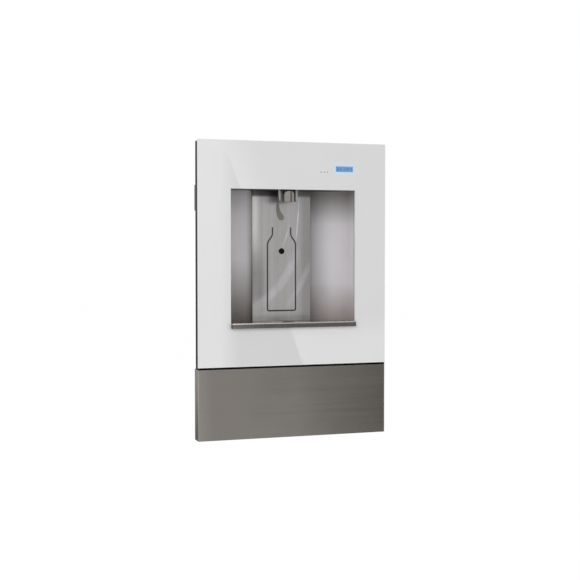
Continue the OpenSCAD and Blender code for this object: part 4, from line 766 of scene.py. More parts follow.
FINISHES = {
    "white_glass": white_glass, "ground_glass": ground_glass, "alcove_steel": alcove_steel,
    "shaded_steel": shaded_steel, "drop_mark": drop_mark, "plate_steel": plate_steel,
    "panel_steel": panel_steel, "tray_steel": tray_steel,
    "zinc_steel": zinc_steel, "galvanised": galvanised, "black_plastic": black_plastic,
    "white_plastic": white_plastic, "filter_white": filter_white, "blue_plastic": blue_plastic,
    "rubber": rubber, "sensor_black": sensor_black, "chrome": chrome, "spring_steel": spring_steel,
    "brass": brass, "tubing": tubing, "enamel": enamel, "display": lit_window,
    "display_digits": digit_ink, "indicator": indicator, "circuit_board": circuit_board,
}


def finish(name):
    """The material of that name, made when it is first asked for."""
    return bpy.data.materials.get(name + FINISH_MARK) or FINISHES[name]()


# Mesh helpers


def welded(node):
    """A CAD node's shape with its doubles merged and its flat faces whole."""
    shape = bmesh.new()
    shape.from_mesh(frame["nodes"][node].data)
    bmesh.ops.remove_doubles(shape, verts=shape.verts, dist=WELD)
    bmesh.ops.dissolve_limit(shape, angle_limit=FLAT, verts=shape.verts, edges=shape.edges)
    return shape


def object_from(name, shape, materials):
    """An object at the origin from a bmesh."""
    mesh = bpy.data.meshes.new(name)
    shape.to_mesh(mesh)
    shape.free()
    if "custom_normal" in mesh.attributes:
        mesh.attributes.remove(mesh.attributes["custom_normal"])
    for material in materials:
        mesh.materials.append(material)
    thing = bpy.data.objects.new(name, mesh)
    bpy.context.scene.collection.objects.link(thing)
    return thing


def settle(thing):
    """Makes what the modifiers give the object's own plain mesh."""
    graph = bpy.context.evaluated_depsgraph_get()
    mesh = bpy.data.meshes.new_from_object(
        thing.evaluated_get(graph), preserve_all_data_layers=True, depsgraph=graph)
    thing.modifiers.clear()
    thing.data = mesh
    return thing


def round_edges(thing, width, steps=2):
    """Rounds an object's sharp edges."""
    for face in thing.data.polygons:
        face.use_smooth = True
    edge = thing.modifiers.new("Edge", "BEVEL")
    edge.width = width
    edge.segments = steps
    edge.limit_method = "ANGLE"
    edge.angle_limit = SHARP
    edge.harden_normals = True
    edge.use_clamp_overlap = False
    return settle(thing)


def smooth(thing):
    """Smooth shading, with sharp edges where the faces turn by more than the limit."""
    for face in thing.data.polygons:
        face.use_smooth = True
    thing.data.set_sharp_from_angle(angle=SHARP)
    return thing


def belongs(thing, body, slot, *nodes):
    """Puts a piece on its body and hides the nodes that it stands for; its slot is not used."""
    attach(thing, body)
    if nodes:
        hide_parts(*nodes)
    return thing


def dress(node, width, steps=2, material=None):
    """A copy of a CAD node with rounded edges and its finish."""
    slot = SLOT_OF[node]
    thing = object_from(node + "_finished", welded(node), [finish(material or slot)])
    round_edges(thing, width, steps)
    return belongs(thing, BODY_OF[node], slot, node)


def paint_faces(thing, material, rule):
    """Gives the faces that a rule picks, by centre and normal, another material."""
    thing.data.materials.append(material)
    index = len(thing.data.materials) - 1
    for face in thing.data.polygons:
        if rule(face.center, face.normal):
            face.material_index = index


def islands(node):
    """The lowest and highest corner of each separate solid of a node."""
    shape = welded(node)
    left = set(shape.verts)
    found = []
    while left:
        group, edge = set(), [left.pop()]
        while edge:
            vertex = edge.pop()
            group.add(vertex)
            for link in vertex.link_edges:
                other = link.other_vert(vertex)
                if other in left:
                    left.remove(other)
                    edge.append(other)
        corners = [vertex.co for vertex in group]
        low = Vector([min(c[axis] for c in corners) for axis in range(3)])
        high = Vector([max(c[axis] for c in corners) for axis in range(3)])
        found.append((low, high))
    shape.free()
    return sorted(found, key=lambda box: tuple(round(value, 5) for value in box[0]))


def lathe(name, profile, steps=32, materials=()):
    """A turned shape about +Z from (radius, height) points, closed where the radius is zero."""
    shape = bmesh.new()
    rings = []
    for radius, height in profile:
        if radius < WELD:
            rings.append([shape.verts.new((0, 0, height))])
        else:
            turns = [2 * pi * k / steps for k in range(steps)]
            rings.append([shape.verts.new((radius * cos(a), radius * sin(a), height)) for a in turns])
    closed = profile[0][0] > WELD
    pairs = list(zip(rings, rings[1:])) + ([(rings[-1], rings[0])] if closed else [])
    for lower, upper in pairs:
        for k in range(steps):
            corners = [lower[k % len(lower)], lower[(k + 1) % len(lower)],
                       upper[(k + 1) % len(upper)], upper[k % len(upper)]]
            unique = list(dict.fromkeys(corners))
            if len(unique) > 2:
                shape.faces.new(unique)
    bmesh.ops.recalc_face_normals(shape, faces=shape.faces)
    return smooth(object_from(name, shape, materials))


def add_box(shape, low, high):
    """A box between two corners, in a bmesh."""
    middle = [(a + b) / 2 for a, b in zip(low, high)]
    size = [b - a for a, b in zip(low, high)]
    matrix = Matrix.Translation(middle) @ Matrix.Diagonal((*size, 1))
    bmesh.ops.create_cube(shape, size=1, matrix=matrix)


def box_part(name, low, high, width, material):
    """A box with rounded edges."""
    shape = bmesh.new()
    add_box(shape, low, high)
    return round_edges(object_from(name, shape, [material]), width)


def drop_object(thing):
    """Removes a helper object."""
    bpy.data.objects.remove(thing)


# Geometry node trees for what repeats


def new_tree(name, inputs):
    """A geometry node tree that takes and gives geometry, with named inputs."""
    geometry = ("Geometry", "Geometry")
    return new_group(name, [(*geometry, None), *inputs], [geometry], "GeometryNodeTree")


def end_tree(sheet, geometry, finish_input, out):
    """Ends a tree: real geometry with its material."""
    real = sheet.add("GeometryNodeRealizeInstances", {"Geometry": geometry}).outputs["Geometry"]
    done = sheet.add("GeometryNodeSetMaterial", {"Geometry": real, "Material": finish_input})
    sheet.feed(out["Geometry"], done.outputs["Geometry"])


def build_set_out():
    """A part on every point of the input, facing one way, each spun by chance about its own axis."""
    sheet, given, out = new_tree("Set Out", [
        ("Object", "Part", None), ("Vector", "Facing", (0, 0, 0)), ("Float", "Spin", 0.0),
        ("Int", "Seed", 7), ("Material", "Finish", None)])
    part = sheet.add("GeometryNodeObjectInfo", {"Object": given["Part"]}).outputs["Geometry"]
    chance = sheet.add("FunctionNodeRandomValue", data_type="FLOAT")
    sheet.feed(chance.inputs[2], 0.0)
    sheet.feed(chance.inputs[3], given["Spin"])
    sheet.feed(chance.inputs[8], given["Seed"])
    about = sheet.add("ShaderNodeCombineXYZ", {"Z": chance.outputs[1]}).outputs["Vector"]
    spin = sheet.add("FunctionNodeEulerToRotation", {"Euler": about}).outputs["Rotation"]
    facing = sheet.add("FunctionNodeEulerToRotation", {"Euler": given["Facing"]}).outputs["Rotation"]
    turn = sheet.add("FunctionNodeRotateRotation", {"Rotation": facing, "Rotate By": spin},
                     rotation_space="LOCAL").outputs["Rotation"]
    copies = sheet.add("GeometryNodeInstanceOnPoints", {
        "Points": given["Geometry"], "Instance": part, "Rotation": turn})
    end_tree(sheet, copies.outputs["Instances"], given["Finish"], out)


def build_row():
    """A straight row of a part: how many, where it starts and the step between two."""
    sheet, given, out = new_tree("Row", [
        ("Object", "Part", None), ("Int", "Count", 5), ("Vector", "Start", (0, 0, 0)),
        ("Vector", "Step", (0, 0, 0.01)), ("Vector", "Facing", (0, 0, 0)), ("Material", "Finish", None)])
    part = sheet.add("GeometryNodeObjectInfo", {"Object": given["Part"]}).outputs["Geometry"]
    line = sheet.add("GeometryNodeMeshLine", {
        "Count": given["Count"], "Start Location": given["Start"], "Offset": given["Step"]}, mode="OFFSET")
    turn = sheet.add("FunctionNodeEulerToRotation", {"Euler": given["Facing"]}).outputs["Rotation"]
    copies = sheet.add("GeometryNodeInstanceOnPoints", {
        "Points": line.outputs["Mesh"], "Instance": part, "Rotation": turn})
    end_tree(sheet, copies.outputs["Instances"], given["Finish"], out)


def build_wheel():
    """A part repeated round an axis: the ring is made about +Z, then turned and moved."""
    sheet, given, out = new_tree("Wheel", [
        ("Object", "Part", None), ("Int", "Count", 12), ("Float", "Radius", 0.01),
        ("Vector", "Centre", (0, 0, 0)), ("Vector", "Facing", (0, 0, 0)), ("Material", "Finish", None)])
    part = sheet.add("GeometryNodeObjectInfo", {"Object": given["Part"]}).outputs["Geometry"]
    ring = sheet.add("GeometryNodeMeshCircle", {"Vertices": given["Count"], "Radius": given["Radius"]})
    number = sheet.add("GeometryNodeInputIndex").outputs["Index"]
    share = sheet.math("DIVIDE", number, given["Count"])
    about = sheet.add("ShaderNodeCombineXYZ", {"Z": sheet.math("MULTIPLY", share, 2 * pi)}).outputs["Vector"]
    turn = sheet.add("FunctionNodeEulerToRotation", {"Euler": about}).outputs["Rotation"]
    copies = sheet.add("GeometryNodeInstanceOnPoints", {
        "Points": ring.outputs["Mesh"], "Instance": part, "Rotation": turn})
    placed = sheet.add("GeometryNodeTransform", {
        "Geometry": copies.outputs["Instances"], "Translation": given["Centre"], "Rotation": given["Facing"]})
    end_tree(sheet, placed.outputs["Geometry"], given["Finish"], out)


def build_coil_spring():
    """A wound wire about +Z, then turned and moved."""
    sheet, given, out = new_tree("Coil Spring", [
        ("Float", "Turns", 6.0), ("Float", "Radius", 0.003), ("Float", "Height", 0.01),
        ("Float", "Wire Radius", 0.0004), ("Vector", "Start", (0, 0, 0)), ("Vector", "Facing", (0, 0, 0)),
        ("Material", "Finish", None)])
    path = sheet.add("GeometryNodeCurveSpiral", {
        "Resolution": 24, "Rotations": given["Turns"], "Start Radius": given["Radius"],
        "End Radius": given["Radius"], "Height": given["Height"]}).outputs["Curve"]
    wire = sheet.add("GeometryNodeCurvePrimitiveCircle", {
        "Resolution": 10, "Radius": given["Wire Radius"]}, mode="RADIUS").outputs["Curve"]
    solid = sheet.add("GeometryNodeCurveToMesh", {"Curve": path, "Profile Curve": wire, "Fill Caps": True})
    placed = sheet.add("GeometryNodeTransform", {
        "Geometry": solid.outputs["Mesh"], "Translation": given["Start"], "Rotation": given["Facing"]})
    end_tree(sheet, placed.outputs["Geometry"], given["Finish"], out)


REPEAT_TREES = (build_set_out, build_row, build_wheel, build_coil_spring)


def grow(name, tree_name, inputs, points=()):
    """The plain mesh object that one of the trees makes, from points where it takes them."""
    tree = bpy.data.node_groups[tree_name]
    start = bpy.data.meshes.new(name)
    start.from_pydata([tuple(point) for point in points], [], [])
    thing = bpy.data.objects.new(name, start)
    bpy.context.scene.collection.objects.link(thing)
    maker = thing.modifiers.new(tree_name, "NODES")
    maker.node_group = tree
    for item in tree.interface.items_tree:
        if item.item_type == "SOCKET" and item.in_out == "INPUT" and item.name in inputs:
            maker[item.identifier] = inputs[item.name]
    return smooth(settle(thing))


def set_out(name, part, points, facing, material, spin=0.0, seed=7):
    """Copies of a part at points; the part itself is removed."""
    thing = grow(name, "Set Out", {
        "Part": part, "Facing": FACE[facing], "Spin": spin, "Seed": seed, "Finish": material}, points)
    drop_object(part)
    return thing


def carry(node):
    """Keeps a CAD node's own mesh and gives it its finish."""
    frame["nodes"][node].material_slots[0].material = finish(SLOT_OF[node])


def pan_head(name, head_radius, head_height, shank_radius, shank_length, material):
    """A pan-head screw with a cross recess: the head stands on +Z, the shank goes down."""
    dome = [(head_radius * cos(a), head_height * (0.35 + 0.65 * sin(a))) for a in
            (0, radians(25), radians(50), radians(72))]
    screw = lathe(name, [
        (0, -shank_length), (shank_radius * 0.6, -shank_length), (shank_radius, -shank_length * 0.9),
        (shank_radius, 0), (head_radius * 0.97, 0), *dome, (0, head_height)], 28, [material])
    cutter = bmesh.new()
    arm, half, floor = head_radius * 0.56, head_radius * 0.13, head_height * 0.3
    add_box(cutter, (-arm, -half, floor), (arm, half, 2 * head_height))
    add_box(cutter, (-half, -arm, floor), (half, arm, 2 * head_height))
    recess = object_from(name + "_recess", cutter, [material])
    cut = screw.modifiers.new("Recess", "BOOLEAN")
    cut.operation = "DIFFERENCE"
    cut.solver = "EXACT"
    cut.use_self = True
    cut.object = recess
    settle(screw)
    drop_object(recess)
    return smooth(screw)


def screws_of(node, faces_front, seed):
    """Replaces a node of screws along Y by pan heads at the same places, one piece for each size."""
    steel = finish(SLOT_OF[node])
    sizes = {}
    for low, high in islands(node):
        key = (round((high.x - low.x) / 2, 5), round(high.y - low.y, 5))
        head_y = low.y if faces_front else high.y
        sizes.setdefault(key, []).append(((low.x + high.x) / 2, head_y, (low.z + high.z) / 2))
    facing = "front" if faces_front else "back"
    for number, ((radius, length), points) in enumerate(sorted(sizes.items())):
        height = radius * 0.55
        side = height if faces_front else -height
        seats = [(x, y + side, z) for x, y, z in points]
        part = pan_head(node + "_part", radius, height, radius * 0.5, length - height, steel)
        screws = set_out(f"{node}_{number}", part, seats, facing, steel, pi, seed)
        belongs(screws, BODY_OF[node], SLOT_OF[node], node)


def studs(name, profile, facing, spots, body, slot, steps=20):
    """A turned part on each spot of a face, as one piece."""
    part = lathe(name + "_part", profile, steps)
    belongs(set_out(name, part, spots, facing, finish(slot)), body, slot)


# What a user can change


class GlassSettings(bpy.types.PropertyGroup):
    """The glass front and its display."""
    colour: FloatVectorProperty(name="Paint", description="Paint behind the glass", subtype="COLOR",
                                default=(0.795, 0.798, 0.795))
    edge_colour: FloatVectorProperty(name="Edge", description="Ground edge of the glass", subtype="COLOR",
                                     default=(0.82, 0.85, 0.84))
    edge_round: FloatProperty(name="Edge Rounding", description="Radius of the edges", default=0.12 * MM,
                              unit="LENGTH")
    display: FloatVectorProperty(name="Display", description="Lit background of the display",
                                 subtype="COLOR", default=(0.14, 0.30, 0.58))
    display_light: FloatProperty(name="Display Light", description="How strongly the display glows",
                                 default=0.30)
    digits: FloatVectorProperty(name="Digits", description="Dark parts of the display", subtype="COLOR",
                                default=(0.03, 0.09, 0.26))
    reading: StringProperty(name="Reading", description="Digits on the display", default="001284")
    glow: FloatVectorProperty(name="Glow", description="Light that spreads round the display",
                              subtype="COLOR", default=(0.05, 0.08, 0.13))
    glow_paint: FloatVectorProperty(name="Lit Paint", description="Paint's colour in that light",
                                    subtype="COLOR", default=(0.62, 0.77, 0.90))
    glow_reach: FloatProperty(name="Glow Reach", description="How far the light spreads", default=10 * MM,
                              unit="LENGTH")


class SteelSettings(bpy.types.PropertyGroup):
    """Stainless steel and chrome."""
    alcove_colour: FloatVectorProperty(name="Alcove", description="Steel of the curved walls",
                                       subtype="COLOR", default=(0.66, 0.645, 0.66))
    plate_colour: FloatVectorProperty(name="Plate", description="Steel of the back plate", subtype="COLOR",
                                      default=(0.60, 0.585, 0.59))
    panel_colour: FloatVectorProperty(name="Panel", description="Steel of the access panel", subtype="COLOR",
                                      default=(0.255, 0.237, 0.216))
    tray_colour: FloatVectorProperty(name="Tray", description="Steel of the drip tray", subtype="COLOR",
                                     default=(0.19, 0.178, 0.17))
    chrome_colour: FloatVectorProperty(name="Chrome", description="Plating of the nozzle", subtype="COLOR",
                                       default=(0.27, 0.255, 0.235))
    edge_round: FloatProperty(name="Edge Rounding", description="Radius of the sheet's edges",
                              default=0.3 * MM, unit="LENGTH")


class PlasticSettings(bpy.types.PropertyGroup):
    """Plastics, rubber and tubes."""
    black: FloatVectorProperty(name="Black", description="Black mouldings", subtype="COLOR",
                               default=(0.007, 0.007, 0.008))
    white: FloatVectorProperty(name="White", description="White mouldings", subtype="COLOR",
                               default=(0.74, 0.75, 0.75))
    blue: FloatVectorProperty(name="Blue", description="What a hand moves", subtype="COLOR",
                              default=(0.02, 0.12, 0.42))
    rubber: FloatVectorProperty(name="Rubber", description="Gaskets, hose and sheaths", subtype="COLOR",
                                default=(0.016, 0.016, 0.016))
    tube: FloatVectorProperty(name="Tube", description="Water tubes", subtype="COLOR",
                              default=(0.66, 0.72, 0.78))
    edge_round: FloatProperty(name="Edge Rounding", description="Radius of the mouldings' edges",
                              default=0.45 * MM, unit="LENGTH")


class BoxSettings(bpy.types.PropertyGroup):
    """The wall box and its metals."""
    zinc_colour: FloatVectorProperty(name="Zinc", description="Galvanised sheet", subtype="COLOR",
                                     default=(0.40, 0.42, 0.44))
    plated_colour: FloatVectorProperty(name="Plated", description="Plated screws", subtype="COLOR",
                                       default=(0.55, 0.55, 0.56))
    brass_colour: FloatVectorProperty(name="Brass", description="Machined brass", subtype="COLOR",
                                      default=(0.62, 0.44, 0.17))
    dust_colour: FloatVectorProperty(name="Dust", description="Dust on what faces up", subtype="COLOR",
                                     default=(0.36, 0.34, 0.31))
    bead_depth: FloatProperty(name="Bead Depth", description="Depth of the pressed beads", default=2.2 * MM,
                              unit="LENGTH")
    bead_half: FloatProperty(name="Bead Half Width", description="Half the width of a bead", default=8 * MM,
                             unit="LENGTH")
    weld_step: FloatProperty(name="Weld Step", description="Distance between two spot welds",
                             default=52 * MM, unit="LENGTH")


class StageSettings(bpy.types.PropertyGroup):
    """Camera, lamps and floor."""
    camera_at: FloatVectorProperty(name="Camera", description="Where the camera stands",
                                   subtype="TRANSLATION", default=(-0.69517, -2.19049, 0.08096))
    camera_down: FloatProperty(name="Camera Down", description="How far the camera looks down, in degrees",
                               default=2.129)
    camera_right: FloatProperty(name="Camera Right", description="How far the camera looks right, in degrees",
                                default=18.315)
    lens: FloatProperty(name="Lens", description="Focal length in millimetres on a 36 mm sensor",
                        default=69.4)
    floor_drop: FloatProperty(name="Floor", description="Height of the floor", default=-1.3, unit="LENGTH")
    sky: FloatProperty(name="Sky", description="Level of the light from all round", default=0.60)


# Operators


class STATION_OT_glass_front(bpy.types.Operator):
    """The white glass, its lit display and the three status lights"""
    bl_idname = "station.glass_front"
    bl_label = "Glass Front"

    def execute(self, context):
        look = context.scene.station_glass
        glass = dress("glass_panel", look.edge_round)
        paint_faces(glass, finish("ground_glass"), lambda centre, normal: abs(normal.y) < 0.98)
        dress("display_window", PROUD)
        dress("status_windows", PROUD)
        self.digits(look.reading)
        return {"FINISHED"}

    def digits(self, reading):
        """Seven-segment digits, a little proud of the display's window."""
        low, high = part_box("display_window")
        height, width, gap, bar = 6.2 * MM, 3.7 * MM, 1.7 * MM, 0.72 * MM
        lit = {"0": "abcdef", "1": "bc", "2": "abdeg", "3": "abcdg", "4": "bcfg", "5": "acdfg",
               "6": "acdefg", "7": "abc", "8": "abcdefg", "9": "abcdfg"}
        slit = 0.12 * MM
        upper, lower = height - bar, 0.0
        middle = (height - bar) / 2
        level = {"a": upper, "g": middle, "d": lower}
        upright = {"f": (0, middle), "b": (width - bar, middle), "e": (0, 0), "c": (width - bar, 0)}
        shape = bmesh.new()
        run = len(reading) * width + (len(reading) - 1) * gap
        z0 = (low.z + high.z - height) / 2
        for number, digit in enumerate(reading):
            x0 = (low.x + high.x - run) / 2 + number * (width + gap)
            for segment in lit[digit]:
                if segment in level:
                    z = z0 + level[segment]
                    corners = (x0 + bar / 2 + slit, z), (x0 + width - bar / 2 - slit, z + bar)
                else:
                    x, z = upright[segment]
                    corners = ((x0 + x, z0 + z + bar / 2 + slit),
                               (x0 + x + bar, z0 + z + middle + bar / 2 - slit))
                (left, bottom), (right, top) = corners
                add_box(shape, (left, low.y - PROUD, bottom), (right, low.y + PROUD, top))
        thing = object_from("display_digits", shape, [finish("display_digits")])
        belongs(thing, BODY_OF["display_window"], "display")


class STATION_OT_frame(bpy.types.Operator):
    """The moulded frame behind the glass, its tape and screws, and the modules of the display"""
    bl_idname = "station.frame"
    bl_label = "Frame"

    def execute(self, context):
        edge = context.scene.station_plastic.edge_round
        moulding = dress("bezel_frame", edge * 0.6)
        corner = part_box("alcove_ceiling")[1]
        lined = corner.x + 4 * MM
        paint_faces(moulding, finish("alcove_steel"), lambda centre, normal: (
            abs(normal.x) > 0.9 and normal.x * centre.x < 0
            and abs(centre.x) < lined and centre.z < corner.z))
        dress("glass_tape", 0.1 * MM)
        screws_of("frame_screws", True, 3)
        self.strip_ends()
        dress("display_module", edge)
        dress("status_light_pipes", edge / 2)
        return {"FINISHED"}

    def strip_ends(self):
        """Short black ends of the frame's strip, with a tongue that closes the gap at the glass's corners."""
        glass_low, glass_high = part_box("glass_panel")
        panel_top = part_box("access_panel")[1].z
        back, front, tongue = -98 * MM, -100 * MM, -114.5 * MM
        reach, edge, lap = 5 * MM, 0.4 * MM, 2 * MM
        for side, name in ((-1, "left"), (1, "right")):
            left, right = sorted((side * (glass_high.x - reach), side * (glass_high.x - edge)))
            shape = bmesh.new()
            add_box(shape, (left, front, panel_top + edge), (right, back, glass_low.z + lap))
            add_box(shape, (left, tongue, panel_top + edge), (right, front, glass_low.z - edge / 2))
            piece = object_from("frame_strip_" + name, shape, [finish("black_plastic")])
            belongs(piece, BODY_OF["bezel_frame"], SLOT_OF["bezel_frame"])


class STATION_OT_alcove(bpy.types.Operator):
    """The curved steel walls and the ceiling, their gasket and screws"""
    bl_idname = "station.alcove"
    bl_label = "Alcove"

    def execute(self, context):
        edge = context.scene.station_steel.edge_round
        dress("alcove_wall_left", edge)
        dress("alcove_wall_right", edge)
        # The ceiling takes the darkened steel: painted shade over the nozzle
        dress("alcove_ceiling", edge, material="shaded_steel")
        dress("liner_gasket", 0.15 * MM)
        screws_of("liner_screws", False, 5)
        return {"FINISHED"}


class STATION_OT_back_plate(bpy.types.Operator):
    """The raised plate with the drawn bottle, and the sensor"""
    bl_idname = "station.back_plate"
    bl_label = "Back Plate"

    def execute(self, context):
        edge = context.scene.station_steel.edge_round
        dress("back_plate", edge / 2, material="plate_steel")
        carry("bottle_outline")
        dress("sensor_lens", 0.3 * MM)
        dress("sensor_module", 0.4 * MM)
        self.eye()
        self.drop()
        return {"FINISHED"}

    def drop(self):
        """A dark drop under the nozzle, etched and standing in for the nozzle's painted reflection: a round
        foot and a bent tail that narrows upwards.
        """
        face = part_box("back_plate")[0].y
        foot = Vector((-1.2, 144.0)) * MM
        elbow = Vector((-9.5, 155.0)) * MM
        tip = Vector((-8.0, 173.0)) * MM
        wide, narrow, swell = 6.4 * MM, 1.6 * MM, 0.8
        steps, round_steps = 18, 16
        left, right = [], []
        for k in range(steps + 1):
            t = k / steps
            here = (1 - t) ** 2 * tip + 2 * t * (1 - t) * elbow + t * t * foot
            ahead = (2 * (1 - t) * (elbow - tip) + 2 * t * (foot - elbow)).normalized()
            side = Vector((-ahead.y, ahead.x)) * (narrow + (wide - narrow) * t ** swell)
            left.append(here + side)
            right.append(here - side)
        start = (left[-1] - foot).angle_signed(Vector((1, 0)))
        turns = [start - pi * k / round_steps for k in range(1, round_steps)]
        outline = left + [foot + wide * Vector((cos(a), sin(a))) for a in turns] + right[::-1]
        shape = bmesh.new()
        front = [shape.verts.new((x, face - PROUD, z)) for x, z in outline]
        back = [shape.verts.new((x, face + PROUD, z)) for x, z in outline]
        shape.faces.new(front)
        shape.faces.new(back[::-1])
        for k in range(len(outline)):
            after = (k + 1) % len(outline)
            shape.faces.new((front[k], back[k], back[after], front[after]))
        bmesh.ops.recalc_face_normals(shape, faces=shape.faces)
        mark = object_from("drop_mark", shape, [finish("drop_mark")])
        belongs(mark, BODY_OF["back_plate"], SLOT_OF["back_plate"])

    def eye(self):
        """The small diode that shows in the middle of the sensor's window."""
        low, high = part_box("sensor_lens")
        radius, rise = 0.7 * MM, 0.1 * MM
        eye = lathe("sensor_eye", [(0, -rise), (radius, -rise), (radius * 0.8, rise / 2), (0, rise)], 20,
                    [finish("indicator")])
        middle = (low + high) / 2
        place = Matrix.Translation((middle.x, low.y, middle.z)) @ Euler(FACE["front"]).to_matrix().to_4x4()
        eye.data.transform(place)
        belongs(eye, BODY_OF["sensor_lens"], "indicator")


class STATION_OT_nozzle(bpy.types.Operator):
    """The chrome nozzle with its flow straightener, nut and dark cup"""
    bl_idname = "station.nozzle"
    bl_label = "Nozzle"

    def execute(self, context):
        dress("nozzle_body", 0.35 * MM, 3)
        dress("nozzle_insert", 0.12 * MM)
        dress("nozzle_nut", 0.5 * MM)
        shroud = dress("nozzle_shroud", 0.3 * MM)
        # The cup's front faces take plated steel, a painted highlight at the cup's edges
        paint_faces(shroud, finish("zinc_steel"), lambda centre, normal: normal.y < -0.95)
        nut_top, stem_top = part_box("nozzle_nut")[1].z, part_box("nozzle_body")[1].z
        over_nut, under_end, radius = 1.1 * MM, 1.6 * MM, 10 * MM
        thread("nozzle_thread", "nozzle_body", nut_top + over_nut, stem_top - under_end, radius, "chrome")
        return {"FINISHED"}


def thread(name, node, low_z, high_z, radius, slot):
    """Rings that stand for a thread round the upright pipe of a node."""
    low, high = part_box(node)
    pitch, rise = 1.3 * MM, 0.32 * MM
    ring = lathe(name + "_ring", [
        (radius - rise, -pitch * 0.42), (radius, -pitch * 0.34), (radius + rise, 0), (radius, pitch * 0.34),
        (radius - rise, pitch * 0.42)], 40)
    rings = grow(name, "Row", {
        "Part": ring, "Count": int((high_z - low_z) / pitch) + 1,
        "Start": ((low.x + high.x) / 2, (low.y + high.y) / 2, low_z), "Step": (0, 0, pitch),
        "Finish": finish(slot)})
    drop_object(ring)
    belongs(rings, "station", slot)


class STATION_OT_tray(bpy.types.Operator):
    """The drip tray with its lip, the strainer and the basin"""
    bl_idname = "station.tray"
    bl_label = "Drip Tray"

    def execute(self, context):
        dress("drip_tray", context.scene.station_steel.edge_round, 3)
        dress("drain_strainer", 0.2 * MM)
        dress("drip_basin", 0.6 * MM)
        return {"FINISHED"}


class STATION_OT_access_panel(bpy.types.Operator):
    """The steel access panel with its strike plates, and the magnets that hold it"""
    bl_idname = "station.access_panel"
    bl_label = "Access Panel"

    def execute(self, context):
        edge = context.scene.station_steel.edge_round
        dress("access_panel", edge, 3)
        dress("strike_plates", 0.2 * MM)
        dress("panel_catches", context.scene.station_plastic.edge_round * 2)
        dress("panel_magnets", 0.3 * MM)
        self.rivets()
        return {"FINISHED"}

    def rivets(self):
        """Two flat rivets on each strike plate."""
        radius, rise, apart = 2 * MM, 0.35 * MM, 7.4 * MM
        profile = [(0, -rise), (radius, -rise), (radius, 0), (radius * 0.8, rise * 0.7), (0, rise)]
        spots = []
        for low, high in islands("strike_plates"):
            for side in (-apart, apart):
                spots.append(((low.x + high.x) / 2, high.y, (low.z + high.z) / 2 + side))
        studs("strike_rivets", profile, "back", spots, "access_panel", "zinc_steel")


